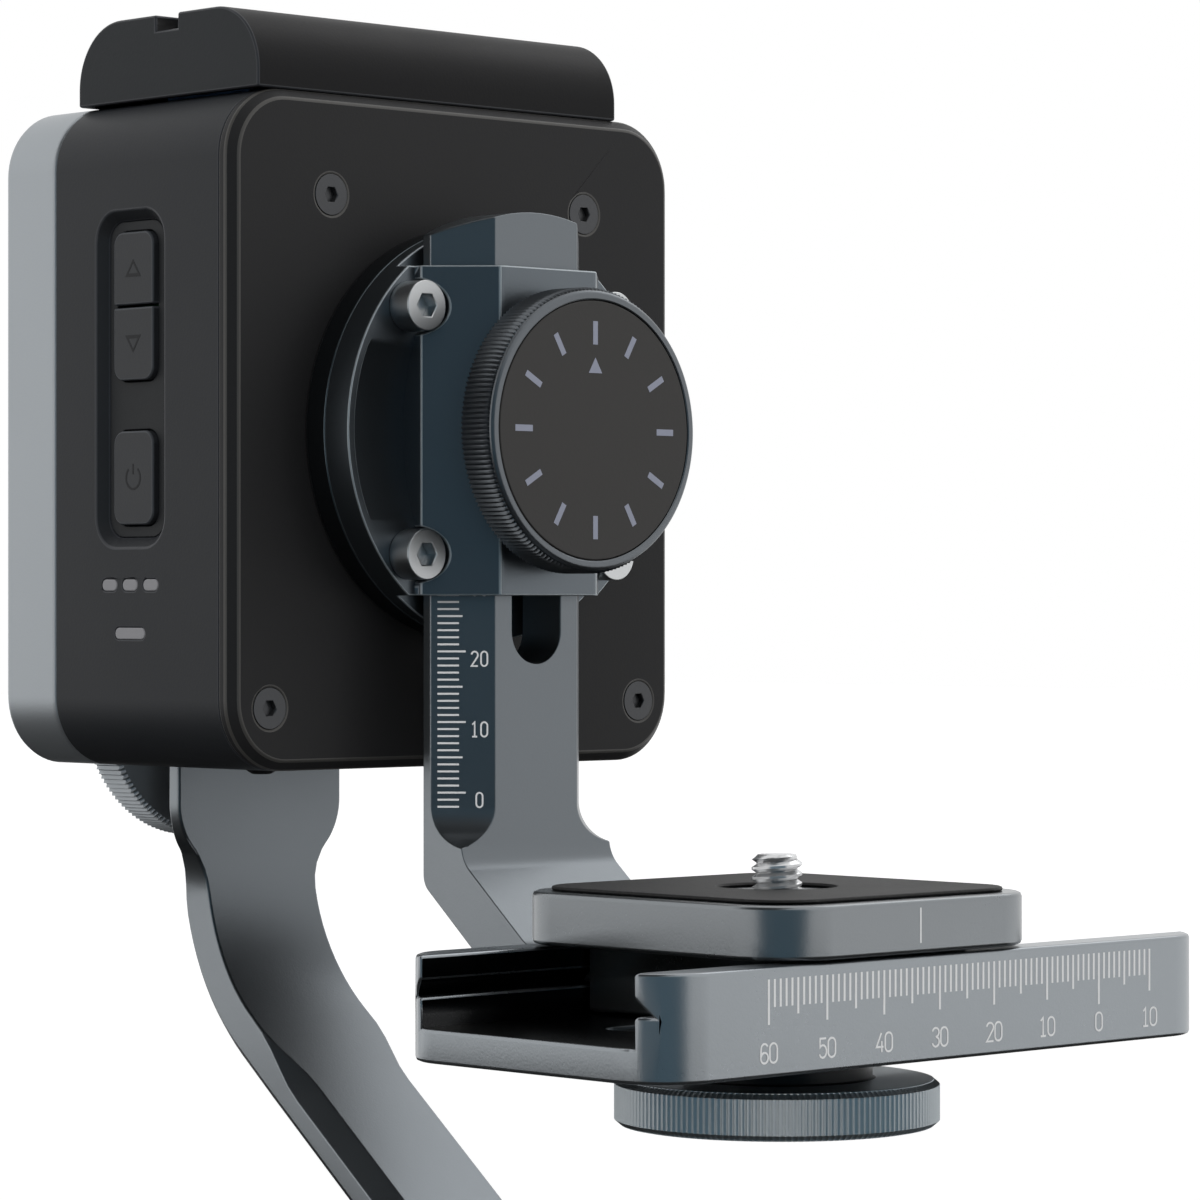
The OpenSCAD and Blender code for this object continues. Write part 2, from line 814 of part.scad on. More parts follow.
// Direction from the inner face into the arm at a station
function arm_inward(i) =
    let (
        a = arm_path[max(i - 1, 0)],
        b = arm_path[min(i + 1, len(arm_path) - 1)],
        d = (b - a) / norm(b - a)
    )
    [-d[1], d[0]];

// Eight points of the arm's section at a station
function arm_ring(i) =
    let (
        p = arm_path[i],
        n = arm_inward(i),
        drop = tilt_z - p[1],
        flare = ease((flare_top - p[1] + bar_top) / flare_run),
        half = mix(arm_half(drop), bar_half, flare),
        cut = mix(least_chamfer, arm_chamfer, ease((drop - chamfer_from) / chamfer_run)),
        front = mix(cut, bar_chamfer, flare),
        back = mix(arm_rear_chamfer, arm_back_chamfer, ease((drop - back_from) / back_run)),
        rear = mix(back, bar_back_chamfer, flare),
        flat = [[front - half, 0], [half - front, 0], [half, front], [half, bar_t - rear],
                [half - rear, bar_t], [rear - half, bar_t], [-half, bar_t - rear], [-half, front]]
    )
    [for (q = flat) [q[0], p[0] + n[0] * q[1], p[1] + n[1] * q[1]]];

// Slot along a bar, drawn flat
module slot2d(from, to) {
    translate([-slot_w / 2, from]) square([slot_w, to - from]);
    for (y = [from, to]) translate([0, y]) circle(slot_w / 2);
}

// What is cut away to round a bar's end
module bar_end2d(s) {
    difference() {
        translate([0, s * (clamp_half + table_r / 2)]) square([2 * table_r, table_r], center = true);
        circle(bar_end_r);
    }
}

// Bent arm that carries the upper unit, let into its base
module arm() {
    rings = [for (i = [0 : len(arm_path) - 1]) arm_ring(i)];
    count = len(rings);
    points = [for (r = rings, p = r) p];
    sides = [for (i = [0 : count - 2], k = [0 : 7], h = [0, 1])
        let (a = 8 * i + k, b = 8 * i + (k + 1) % 8)
        h == 0 ? [a, b, b + 8] : [a, b + 8, a + 8]];
    ends = [for (k = [1 : 6]) [0, k + 1, k]];
    last = 8 * (count - 1);
    far = [for (k = [1 : 6]) [last, last + k, last + k + 1]];
    color("slategray") difference() {
        polyhedron(points, concat(sides, ends, far));
        translate([0, arm_y - eps, tilt_z - arm_knob_drop]) rotate([-90, 0, 0])
            cylinder(bar_t + 2 * eps, d = stud_d + 2 * slide_gap);
        translate([0, 0, bar_z - eps]) linear_extrude(bar_t + 2 * eps) {
            slot2d(slot_low + arm_slide / 2, arm_slide + stud_d / 2);
            bar_end2d(-1);
        }
    }
}

// Knob behind the arm, with its stud in the upper base
module arm_knob() {
    stud_l = bar_t + base_t - arm_seat - 1;
    color("gray") translate([0, arm_y + bar_t, tilt_z - arm_knob_drop]) rotate([-90, 0, 0]) {
        translate([0, 0, fit_gap]) cylinder(arm_knob_collar, r = collar_r);
        translate([0, 0, arm_knob_collar]) grip(knob_d, arm_knob_t);
        translate([0, 0, -stud_l]) cylinder(stud_l + arm_knob_collar, d = stud_d);
    }
}

// Bent bracket with a slotted leg, a diagonal and a foot under the rail
module camera_bracket() {
    low = rail_z;
    tongue_z = rail_z + tongue_t;
    bend_z = tilt_z - bracket_bend_drop;
    foot_top = rail_z + bar_t;
    run = (bend_z - foot_top) / tan(bar_slope);
    lean = bar_t * tan((90 - bar_slope) / 2);
    rise = bar_t * tan(bar_slope / 2);
    end_y = rail_w / 2;
    top = tilt_z + bar_end_r;
    inner = [[leg_y, top], [leg_y, bend_z], [leg_y - run, foot_top], [end_y, foot_top]];
    outer = [
        [end_y, low],
        [leg_y - run + rise, low],
        [leg_y + bar_t, bend_z - lean],
        [leg_y + bar_t, top]
    ];
    color("slategray") difference() {
        rotate([90, 0, 90]) linear_extrude(2 * bar_half, center = true) polygon(concat(
            [inner[0]],
            corner(inner[0], inner[1], inner[2], bracket_bend_r),
            corner(inner[1], inner[2], inner[3], bracket_bend_r),
            [inner[3], [end_y, tongue_z], [end_y - tongue_l, tongue_z], [end_y - tongue_l, low]],
            corner(outer[0], outer[1], outer[2], heel_r),
            corner(outer[1], outer[2], outer[3], heel_r),
            [outer[3]]
        ));
        for (s = [-1, 1]) leg_chamfer(s);
        translate([0, leg_y + bar_t + eps, tilt_z]) rotate([90, 0, 0]) linear_extrude(bar_t + 2 * eps) {
            slot2d(slot_low + slot_w / 2, stud_d);
            bar_end2d(1);
        }
        for (s = [-1, 1]) translate([s * foot_screw_x, end_y - foot_screw_in, low - eps])
            cylinder(tongue_t + 2 * eps, r = foot_screw_r);
    }
}

// Chamfer along one front edge of the leg, which runs out in a round sweep
module leg_chamfer(s) {
    deep = bar_chamfer * sqrt(2);
    translate([s * bar_half, leg_y, tilt_z - runout_drop]) rotate([0, 0, 45 * s])
        translate([0, deep / 2, 0]) rotate([0, 90, 0]) linear_extrude(4 * bar_chamfer, center = true) {
            translate([-3 * table_r, -deep]) square([3 * table_r, deep]);
            translate([0, -runout_r]) circle(runout_r);
        }
}

// Rail with a dovetail channel and a slot for the camera screw
module rail() {
    section = [
        [-channel_half, rail_h + 1], [-channel_half, rail_h - groove_top],
        [-channel_half - groove_deep, rail_h - groove_low], [-channel_half, rail_h - groove_low],
        [-channel_half, rail_floor], [channel_half, rail_floor],
        [channel_half, rail_h - groove_low], [channel_half + groove_deep, rail_h - groove_low],
        [channel_half, rail_h - groove_top], [channel_half, rail_h + 1]
    ];
    color("slategray") difference() {
        translate([rail_x, 0, rail_z]) difference() {
            slab(rail_l, rail_w, rail_r, rail_h);
            rotate([90, 0, 90]) linear_extrude(rail_l + 2, center = true) polygon(section);
        }
        translate([-screw_left, 0, rail_z - eps]) linear_extrude(rail_floor + 2 * eps) rotate([0, 0, -90])
            stud_slot2d();
        translate([-bar_half - slide_gap, rail_w / 2 - tongue_l - slide_gap, rail_z - eps])
            cube([2 * (bar_half + slide_gap), tongue_l + slide_gap + 1, tongue_t + eps]);
        for (s = [-1, 1]) translate([s * foot_screw_x, rail_w / 2 - foot_screw_in, rail_z + rail_floor]) {
            translate([0, 0, -rail_floor]) cylinder(rail_floor + eps, r = foot_screw_r);
            translate([0, 0, -foot_cone]) cylinder(foot_cone, foot_screw_r, foot_head_r);
        }
    }
}

module stud_slot2d() {
    w = shank_d + 2 * run_gap;
    translate([-w / 2, -slide_left]) square([w, slide_left + slide_right]);
    for (y = [-slide_left, slide_right]) translate([0, y]) circle(w / 2);
}

// Countersunk screws through the rail's floor into the bracket's tongue
module rail_screws() {
    color("silver") for (s = [-1, 1])
        translate([s * foot_screw_x, rail_w / 2 - foot_screw_in, rail_z + rail_floor]) difference() {
            union() {
                translate([0, 0, -rail_floor]) cylinder(rail_floor - foot_cone + eps, r = foot_screw_r);
                translate([0, 0, -foot_cone]) cylinder(foot_cone, foot_screw_r, foot_head_r);
            }
            translate([0, 0, -foot_cone / 2]) cylinder(foot_cone, r = screw_hex_r, $fn = 6);
        }
}

// Camera plate with a dovetail tongue in the rail
module camera_plate() {
    half = channel_half - run_gap;
    low = rail_floor + run_gap;
    ridge = half + groove_deep - run_gap;
    ridge_z = rail_h - groove_low + run_gap;
    section = [
        [-half, low], [half, low],
        [half, ridge_z], [ridge, ridge_z],
        [half, rail_h - groove_top - run_gap], [half, rail_h + run_gap + eps],
        [-half, rail_h + run_gap + eps], [-half, rail_h - groove_top - run_gap],
        [-ridge, ridge_z], [-half, ridge_z]
    ];
    color("gray") translate([-screw_left, 0, 0]) difference() {
        union() {
            translate([0, 0, plate_z]) slab(plate_w, plate_w, plate_r, plate_t);
            translate([0, 0, rail_z]) rotate([90, 0, 90])
                linear_extrude(plate_w - 2 * plate_r, center = true) polygon(section);
        }
        translate([0, 0, rail_z]) cylinder(plate_top, d = shank_d + 2 * fit_gap);
    }
}

module plate_pad() {
    w = plate_w - 2 * pad_inset;
    color("#202020") translate([-screw_left, 0, plate_top]) difference() {
        slab(w, w, plate_r - pad_inset, pad_t);
        translate([0, 0, -eps]) cylinder(pad_t + 2 * eps, r = pad_hole_r);
    }
}

// Camera screw, from the knob through the rail's slot and the plate
module camera_screw() {
    low = rail_z - rail_collar - rail_knob_t / 2;
    color("gainsboro") translate([-screw_left, 0, 0]) {
        translate([0, 0, low]) cylinder(plate_top + pad_t - low, d = shank_d);
        translate([0, 0, plate_top + fit_gap]) cylinder(pad_t + screw_over - fit_gap, d = screw_d);
    }
}

module plate_knob() {
    color("slategray") translate([-screw_left, 0, rail_z - rail_collar - rail_knob_t]) difference() {
        union() {
            grip(rail_knob_d, rail_knob_t);
            cylinder(rail_knob_t + rail_collar - fit_gap, r = collar_r);
        }
        translate([0, 0, rail_knob_t / 2]) cylinder(rail_knob_t + rail_collar, d = shank_d);
    }
}

// Pieces of the lower unit
module pan_housing() { color("#3a3c3f") unit_housing(); }
module pan_cover() { color("#262626") unit_cover(); }
module pan_cover_screws() { color("#404040") unit_cover_screws(); }
module pan_turntable() { color("#1c1e20") unit_turntable(); }
module pan_bush() { color("goldenrod") unit_bush(); }
module pan_output_gear() { color("goldenrod") unit_output_gear(); }
module pan_idler_gear() { color("khaki") unit_idler_gear(); }
module pan_motor() { color("darkgray") unit_motor(); }
module pan_pinion() { color("goldenrod") unit_pinion(); }
module pan_chassis() { color("lightgray") unit_chassis(); }
module pan_circuit_board() { color("darkgreen") unit_circuit_board(); }
module pan_button_bezel() { color("#333538") unit_button_bezel(); }
module pan_up_button() { color("#37393c") unit_key(up_y, key_l, -1); }
module pan_down_button() { color("#37393c") unit_key(down_y, key_l, 1); }
module pan_power_button() { color("#37393c") unit_key(power_y, power_l); }
module pan_led_pipes() { color("lightgray") led_shapes(0); }
module pan_battery_cover() { color("#333538") unit_battery_cover(); }
module pan_battery_cell() { color("steelblue") unit_battery_cell(); }
module pan_clamp() { color("#4a535b") unit_clamp(); }
module pan_clamp_screws() { color("silver") unit_clamp_screws(); }
module pan_clamp_knob() { color("#5a6268") unit_clamp_knob(); }
module pan_knob_disc() { color("#3f3d3c") unit_knob_disc(); }

// The same pieces of the upper unit
module tilt_housing() { tilt() pan_housing(); }
module tilt_cover() { tilt() pan_cover(); }
module tilt_cover_screws() { tilt() pan_cover_screws(); }
module tilt_turntable() { tilt() pan_turntable(); }
module tilt_bush() { tilt() pan_bush(); }
module tilt_output_gear() { tilt() pan_output_gear(); }
module tilt_idler_gear() { tilt() pan_idler_gear(); }
module tilt_motor() { tilt() pan_motor(); }
module tilt_pinion() { tilt() pan_pinion(); }
module tilt_chassis() { tilt() pan_chassis(); }
module tilt_circuit_board() { tilt() pan_circuit_board(); }
module tilt_button_bezel() { tilt() pan_button_bezel(); }
module tilt_up_button() { tilt() pan_up_button(); }
module tilt_down_button() { tilt() pan_down_button(); }
module tilt_power_button() { tilt() pan_power_button(); }
module tilt_led_pipes() { tilt() pan_led_pipes(); }
module tilt_battery_cover() { tilt() pan_battery_cover(); }
module tilt_battery_cell() { tilt() pan_battery_cell(); }
module tilt_clamp() { tilt() pan_clamp(); }
module tilt_clamp_screws() { tilt() pan_clamp_screws(); }
module tilt_clamp_knob() { tilt() pan_clamp_knob(); }
module tilt_knob_disc() { tilt() pan_knob_disc(); }

pan_base();
pan_housing();
pan_cover();
pan_cover_screws();
pan_turntable();
pan_bush();
pan_output_gear();
pan_idler_gear();
pan_motor();
pan_pinion();
pan_chassis();
pan_circuit_board();
pan_button_bezel();
pan_up_button();
pan_down_button();
pan_power_button();
pan_led_pipes();
pan_battery_cover();
pan_battery_cell();
pan_clamp();
pan_clamp_screws();
pan_clamp_knob();
pan_knob_disc();
tripod_bush();
tilt_base();
tilt_housing();
tilt_cover();
tilt_cover_screws();
tilt_turntable();
tilt_bush();
tilt_output_gear();
tilt_idler_gear();
tilt_motor();
tilt_pinion();
tilt_chassis();
tilt_circuit_board();
tilt_button_bezel();
tilt_up_button();
tilt_down_button();
tilt_power_button();
tilt_led_pipes();
tilt_battery_cover();
tilt_battery_cell();
tilt_clamp();
tilt_clamp_screws();
tilt_clamp_knob();
tilt_knob_disc();
port_plug();
arm();
arm_knob();
camera_bracket();
rail();
rail_screws();
camera_plate();
plate_pad();
camera_screw();
plate_knob();
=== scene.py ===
"""Dressed scene of a motorized pan tilt head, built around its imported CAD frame."""
import math

import bmesh
import bpy
from mathutils import Matrix, Vector


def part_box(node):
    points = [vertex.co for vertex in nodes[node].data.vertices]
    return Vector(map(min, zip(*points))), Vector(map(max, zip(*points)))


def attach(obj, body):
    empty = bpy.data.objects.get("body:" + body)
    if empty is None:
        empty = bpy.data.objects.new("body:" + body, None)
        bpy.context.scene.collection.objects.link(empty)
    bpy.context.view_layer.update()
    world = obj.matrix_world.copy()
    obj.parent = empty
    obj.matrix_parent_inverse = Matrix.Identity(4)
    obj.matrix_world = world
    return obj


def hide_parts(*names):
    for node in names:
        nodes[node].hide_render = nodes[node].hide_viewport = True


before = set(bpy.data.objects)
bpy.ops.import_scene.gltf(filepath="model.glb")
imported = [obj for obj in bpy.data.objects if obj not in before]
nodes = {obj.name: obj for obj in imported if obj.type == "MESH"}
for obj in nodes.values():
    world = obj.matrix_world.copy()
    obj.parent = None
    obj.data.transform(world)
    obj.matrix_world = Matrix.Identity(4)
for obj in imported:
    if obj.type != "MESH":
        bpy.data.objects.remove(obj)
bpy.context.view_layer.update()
MM = 0.001

# Camera of the photograph: a 36 mm sensor, level, turned to the left of the front
CAMERA_AT = Vector((-0.45434, -0.40603, 0.18558))
CAMERA_TURN = math.radians(-43.82)
CAMERA_LENS = 139.85
CAMERA_SENSOR = 36

# Printing stands this far out of its surface, and starts this far below it, in mm
PRINT_LIFT = 0.03
PRINT_LOW = -0.02


# Materials

def srgb(code):
    """Linear colour of a six digit code."""
    parts = [int(code[i:i + 2], 16) / 255 for i in (0, 2, 4)]
    return [p / 12.92 if p <= 0.04045 else ((p + 0.055) / 1.055) ** 2.4 for p in parts]


def shade(colour, k):
    return [min(1, c * k) for c in colour] + [1]


def finish_material(name, code, metallic=0.0, rough=0.5, grain=900, bump=0.03, tint=0.05,
                    spread=0.06, stretch=(1, 1, 1), specular=0.5, painted_side_light=None):
    """Material with a fine grain that colour, roughness and bump vary with.

    Faces across X may get their own colour, painted light or shade for how light falls on those sides."""
    mat = bpy.data.materials.new(name)
    mat.use_nodes = True
    tree = mat.node_tree
    shader = tree.nodes["Principled BSDF"]
    shader.inputs["Metallic"].default_value = metallic
    shader.inputs["Specular IOR Level"].default_value = specular
    place = tree.nodes.new("ShaderNodeTexCoord")
    mapping = tree.nodes.new("ShaderNodeMapping")
    mapping.inputs["Scale"].default_value = stretch
    tree.links.new(place.outputs["Object"], mapping.inputs["Vector"])
    fine = noise(tree, mapping.outputs["Vector"], grain, 3)
    broad = noise(tree, place.outputs["Object"], 55, 2)
    mix = tree.nodes.new("ShaderNodeMix")
    mix.data_type = "RGBA"
    colour = srgb(code)
    mix.inputs["A"].default_value = shade(colour, 1 - tint)
    mix.inputs["B"].default_value = shade(colour, 1 + tint)
    both = tree.nodes.new("ShaderNodeMath")
    both.operation = "ADD"
    tree.links.new(fine, both.inputs[0])
    tree.links.new(broad, both.inputs[1])
    half = tree.nodes.new("ShaderNodeMath")
    half.operation = "MULTIPLY"
    half.inputs[1].default_value = 0.5
    tree.links.new(both.outputs[0], half.inputs[0])
    tree.links.new(half.outputs[0], mix.inputs["Factor"])
    tinted = mix.outputs["Result"]
    # Painted light or shade: faces across X get their own colour
    if painted_side_light:
        tinted = side_colour(tree, place, tinted, srgb(painted_side_light) + [1])
    tree.links.new(tinted, shader.inputs["Base Color"])
    span = tree.nodes.new("ShaderNodeMapRange")
    span.inputs["To Min"].default_value = max(0.02, rough - spread)
    span.inputs["To Max"].default_value = min(1, rough + spread)
    tree.links.new(half.outputs[0], span.inputs["Value"])
    tree.links.new(span.outputs["Result"], shader.inputs["Roughness"])
    relief = tree.nodes.new("ShaderNodeBump")
    relief.inputs["Strength"].default_value = bump
    relief.inputs["Distance"].default_value = 0.0004
    tree.links.new(fine, relief.inputs["Height"])
    tree.links.new(relief.outputs["Normal"], shader.inputs["Normal"])
    return mat


def noise(tree, source, scale, detail):
    node = tree.nodes.new("ShaderNodeTexNoise")
    node.inputs["Scale"].default_value = scale
    node.inputs["Detail"].default_value = detail
    tree.links.new(source, node.inputs["Vector"])
    return node.outputs["Fac"]


def side_colour(tree, place, colour, other):
    """Painted light or shade: other colour on the faces that look along X."""
    split = tree.nodes.new("ShaderNodeSeparateXYZ")
    tree.links.new(place.outputs["Normal"], split.inputs[0])
    size = tree.nodes.new("ShaderNodeMath")
    size.operation = "ABSOLUTE"
    tree.links.new(split.outputs["X"], size.inputs[0])
    share = tree.nodes.new("ShaderNodeMapRange")
    share.inputs["From Min"].default_value = 0.8
    share.inputs["From Max"].default_value = 0.95
    tree.links.new(size.outputs[0], share.inputs["Value"])
    mix = tree.nodes.new("ShaderNodeMix")
    mix.data_type = "RGBA"
    mix.inputs["B"].default_value = other
    tree.links.new(share.outputs["Result"], mix.inputs["Factor"])
    tree.links.new(colour, mix.inputs["A"])
    return mix.outputs["Result"]


def dark_hollow(mat, spans, code):
    """Painted shade: darkens faces that do not look outwards beside the XZ plane: rows of half width, low and
    high, in m.
    """
    tree = mat.node_tree
    shader = tree.nodes["Principled BSDF"]
    place = tree.nodes.new("ShaderNodeTexCoord")
    split = tree.nodes.new("ShaderNodeSeparateXYZ")
    tree.links.new(place.outputs["Object"], split.inputs[0])
    facing = tree.nodes.new("ShaderNodeSeparateXYZ")
    tree.links.new(place.outputs["Normal"], facing.inputs[0])

    def step(operation, a, b):
        node = tree.nodes.new("ShaderNodeMath")
        node.operation = operation
        for socket, value in zip(node.inputs, (a, b)):
            if isinstance(value, float):
                socket.default_value = value
            else:
                tree.links.new(value, socket)
        return node.outputs[0]

    away = step("ABSOLUTE", split.outputs["Y"], 0.0)
    outwards = step("MULTIPLY", step("SIGN", split.outputs["Y"], 0.0), facing.outputs["Y"])
    not_out = step("LESS_THAN", outwards, 0.1)
    not_end = step("GREATER_THAN", facing.outputs["X"], -0.3)
    inwards = step("MULTIPLY", not_out, not_end)
    inside = None
    for half, low, high in spans:
        above = step("GREATER_THAN", split.outputs["Z"], low)
        below = step("LESS_THAN", split.outputs["Z"], high)
        tall = step("MULTIPLY", above, below)
        part = step("MULTIPLY", step("MULTIPLY", tall, inwards), step("LESS_THAN", away, half))
        inside = step("MAXIMUM", inside, part) if inside else part
    # The painted shade colour is mixed in over the masked faces
    mix = tree.nodes.new("ShaderNodeMix")
    mix.data_type = "RGBA"
    mix.inputs["B"].default_value = srgb(code) + [1]
    tree.links.new(inside, mix.inputs["Factor"])
    tree.links.new(shader.inputs["Base Color"].links[0].from_socket, mix.inputs["A"])
    tree.links.new(mix.outputs["Result"], shader.inputs["Base Color"])


silver = finish_material("silver_anodised", "a2a7ab", 0.85, 0.42, 2600, 0.04, 0.03)
housing = finish_material("dark_housing", "1f2124", 0.0, 0.48, 2400, 0.05, 0.05, specular=0.25)
# Painted light: the hump's ends across X are lighter than its front
hump = finish_material("dark_hump", "19191a", 0.0, 0.46, 2400, 0.05, 0.05, specular=0.1, painted_side_light="2a2c2e")
cover = finish_material("satin_black", "202021", 0.0, 0.5, 2600, 0.04, 0.06, specular=0.2)
gunmetal = finish_material("gunmetal_anodised", "84888b", 0.95, 0.29, 3000, 0.04, 0.03)
rail_metal = finish_material("rail_anodised", "92979b", 0.95, 0.29, 3000, 0.04, 0.03)
# Painted light: the bar's faces across X are lighter than its front
bar_metal = finish_material("bar_anodised", "6e7377", 0.95, 0.34, 3000, 0.04, 0.03, painted_side_light="8b9094")
dark_rim = finish_material("dark_anodised", "656b70", 0.95, 0.34, 2600, 0.04, 0.04)
table = finish_material("black_anodised", "17191b", 0.5, 0.36, 2200, 0.04, 0.05, specular=0.3)
screw_steel = finish_material("screw_steel", "c6c8c9", 1.0, 0.34, 2200, 0.01, 0.03)
knob_metal = finish_material("knob_anodised", "676b6f", 0.95, 0.34, 2600, 0.04, 0.04)
# Painted sheen: the rail knob's grip is lighter than its anodised finish, for the bright reflection on it
grip_metal_with_sheen = finish_material("grip_anodised_with_sheen", "b9c0c4", 0.95, 0.36, 3000, 0.04, 0.03)
thread_steel = finish_material("thread_steel", "d6d7d8", 0.85, 0.24, 2200, 0.02, 0.04)
steel = finish_material("bright_steel", "a8aaab", 1.0, 0.3, 2200, 0.02, 0.04)
dark_steel = finish_material("dark_steel", "4a4b4d", 0.8, 0.4, 2200, 0.04, 0.05)
brass = finish_material("brass", "b99a55", 1.0, 0.34, 1500, 0.05, 0.05)
sheet = finish_material("plain_sheet", "a2a4a6", 0.9, 0.4, 700, 0.05, 0.04, stretch=(1, 6, 1))
board = finish_material("solder_mask", "1d5a34", 0.0, 0.4, 500, 0.05, 0.08)
key = finish_material("key_plastic", "222427", 0.0, 0.46, 2400, 0.05, 0.05, specular=0.35)
# Painted shade: the key bezel is darker than the housing, for the gaps round the keys
recess_shade = finish_material("recess_plastic_shaded", "1b1d1f", 0.0, 0.52, 2400, 0.05, 0.05, specular=0.25)
milky = finish_material("light_pipe", "7c7c7f", 0.0, 0.4, 900, 0.03, 0.04, specular=0.3)
film = finish_material("cell_film", "3c6796", 0.0, 0.3, 300, 0.05, 0.08)
dial = finish_material("dial_face", "333231", 0.0, 0.45, 2200, 0.03, 0.05, specular=0.25)
rubber = finish_material("pad_rubber", "0f0f10", 0.0, 0.62, 1500, 0.2, 0.15, specular=0.3)
white_print = finish_material("pale_print", "dfe0e1", 0.0, 0.6, 1800, 0.02, 0.03, specular=0.2)
dial_print = finish_material("dial_print", "8f93a2", 0.0, 0.5, 1800, 0.02, 0.03, specular=0.2)
# Painted highlights: lighter copies of some looks, for their eased edges
cover_edge_highlight = finish_material("satin_black_edge_highlight", "3a3937", 0.0, 0.42, 2600, 0.04, 0.06, specular=0.5)
hump_edge_highlight = finish_material("dark_housing_edge_highlight", "2a2c30", 0.0, 0.4, 2400, 0.05, 0.05, specular=0.35)
rim_edge_highlight = finish_material("dark_anodised_edge_highlight", "616a6f", 0.95, 0.3, 2600, 0.04, 0.04)
clamp_edge_highlight = finish_material("clamp_edge_highlight", "a9b0b4", 0.9, 0.5, 2600, 0.04, 0.04)
key_edge_highlight = finish_material("key_edge_highlight", "35383c", 0.0, 0.42, 2400, 0.05, 0.05, specular=0.4)
key_print = finish_material("key_print", "17181a", 0.0, 0.55, 1800, 0.03, 0.04, specular=0.3)

UNIT_LOOKS = {
    "base": silver, "housing": housing, "cover": cover, "cover_screws": dark_steel,
    "turntable": table, "bush": brass, "output_gear": brass, "idler_gear": brass,
    "motor": steel, "pinion": brass, "chassis": sheet, "circuit_board": board,
    "button_bezel": recess_shade, "up_button": key, "down_button": key, "power_button": key,
    "led_pipes": milky, "battery_cover": hump, "battery_cell": film, "clamp": dark_rim,
    "clamp_screws": screw_steel, "clamp_knob": knob_metal, "knob_disc": dial,
}
LOOKS = {f"{unit}_{piece}": look for unit in ("pan", "tilt") for piece, look in UNIT_LOOKS.items()}
LOOKS.update(
    tripod_bush=steel, port_plug=rubber, arm=bar_metal, arm_knob=silver, camera_bracket=bar_metal,
    rail=rail_metal, rail_screws=steel, camera_plate=gunmetal, plate_pad=rubber, camera_screw=steel,
    plate_knob=grip_metal_with_sheen,
)

# Edges of the CAD nodes are eased, in mm
EDGES = {"cover": 0.3, "housing": 0.25, "base": 0.8, "battery_cover": 0.35, "clamp": 0.22, "rail": 0.5,
         "plate": 0.6, "pad": 0.3, "up_button": 0.3, "down_button": 0.3, "power_button": 0.3}
EDGE = 0.2
# Edges sharper than this angle are eased or kept sharp, in degrees
EDGE_ANGLE = 28
# Points nearer than this are welded, in mm, and faces flatter than this are joined, in degrees
WELD = 0.05
FLAT_ANGLE = 0.6
# Painted highlight: eased edges of these looks get a lighter, glossier copy of the look
PAINTED_EDGE_HIGHLIGHTS = {cover: cover_edge_highlight, hump: hump_edge_highlight, housing: hump_edge_highlight, dark_rim: clamp_edge_highlight,
                table: rim_edge_highlight, key: key_edge_highlight}


def edge_group():
    """Modifier group for the edges: convex ones are to be eased, and hollow ones stay sharp."""
    group = bpy.data.node_groups.new("edges", "GeometryNodeTree")
    group.interface.new_socket("Geometry", in_out="INPUT", socket_type="NodeSocketGeometry")
    group.interface.new_socket("Geometry", in_out="OUTPUT", socket_type="NodeSocketGeometry")
    start = group.nodes.new("NodeGroupInput")
    end = group.nodes.new("NodeGroupOutput")
    angle = group.nodes.new("GeometryNodeInputMeshEdgeAngle")
    tests = []
    for limit in (EDGE_ANGLE, -EDGE_ANGLE):
        test = group.nodes.new("FunctionNodeCompare")
        test.operation = "GREATER_THAN"
        test.inputs["B"].default_value = math.radians(limit)
        group.links.new(angle.outputs["Signed Angle"], test.inputs["A"])
        tests.append(test.outputs["Result"])
    store = group.nodes.new("GeometryNodeStoreNamedAttribute")
    store.data_type = "FLOAT"
    store.domain = "EDGE"
    store.inputs["Name"].default_value = "bevel_weight_edge"
    smooth = group.nodes.new("GeometryNodeSetShadeSmooth")
    smooth.domain = "EDGE"
    group.links.new(tests[0], store.inputs["Value"])
    group.links.new(tests[1], smooth.inputs["Shade Smooth"])
    group.links.new(start.outputs["Geometry"], store.inputs["Geometry"])
    group.links.new(store.outputs["Geometry"], smooth.inputs["Geometry"])
    group.links.new(smooth.outputs["Geometry"], end.inputs["Geometry"])
    return group


def dress_nodes():
    """Gives every CAD node its material, eased edges and smooth shading."""
    edges = edge_group()
    for name, look in LOOKS.items():
        obj = nodes[name]
        obj.data.materials.clear()
        obj.data.materials.append(look)
        for face in obj.data.polygons:
            face.use_smooth = True
        weld = obj.modifiers.new("weld", "WELD")
        weld.merge_threshold = WELD * MM
        flat = obj.modifiers.new("flat", "DECIMATE")
        flat.decimate_type = "DISSOLVE"
        flat.angle_limit = math.radians(FLAT_ANGLE)
        weigh = obj.modifiers.new("weigh", "NODES")
        weigh.node_group = edges
        ease = obj.modifiers.new("ease", "BEVEL")
        ease.width = EDGES.get(name if name in EDGES else name.split("_", 1)[-1], EDGE) * MM
        ease.segments = 2
        ease.limit_method = "WEIGHT"
        ease.use_clamp_overlap = False
        ease.harden_normals = False
        # Painted highlight: the eased edges take the lighter copy of the look
        if look in PAINTED_EDGE_HIGHLIGHTS:
            obj.data.materials.append(PAINTED_EDGE_HIGHLIGHTS[look])
            ease.material = 1
        normals = obj.modifiers.new("normals", "WEIGHTED_NORMAL")
        normals.keep_sharp = True


# Meshes

# Places of the two units: the lower one lies flat, the upper one stands on its side
tilt_z = sum(corner.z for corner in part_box("tilt_output_gear")) / 2
tilt_at = Matrix.Translation((0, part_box("tilt_base")[1].y, tilt_z))
UNIT = {"pan": Matrix.Identity(4), "tilt": tilt_at @ Matrix.Rotation(math.pi / 2, 4, "X")}


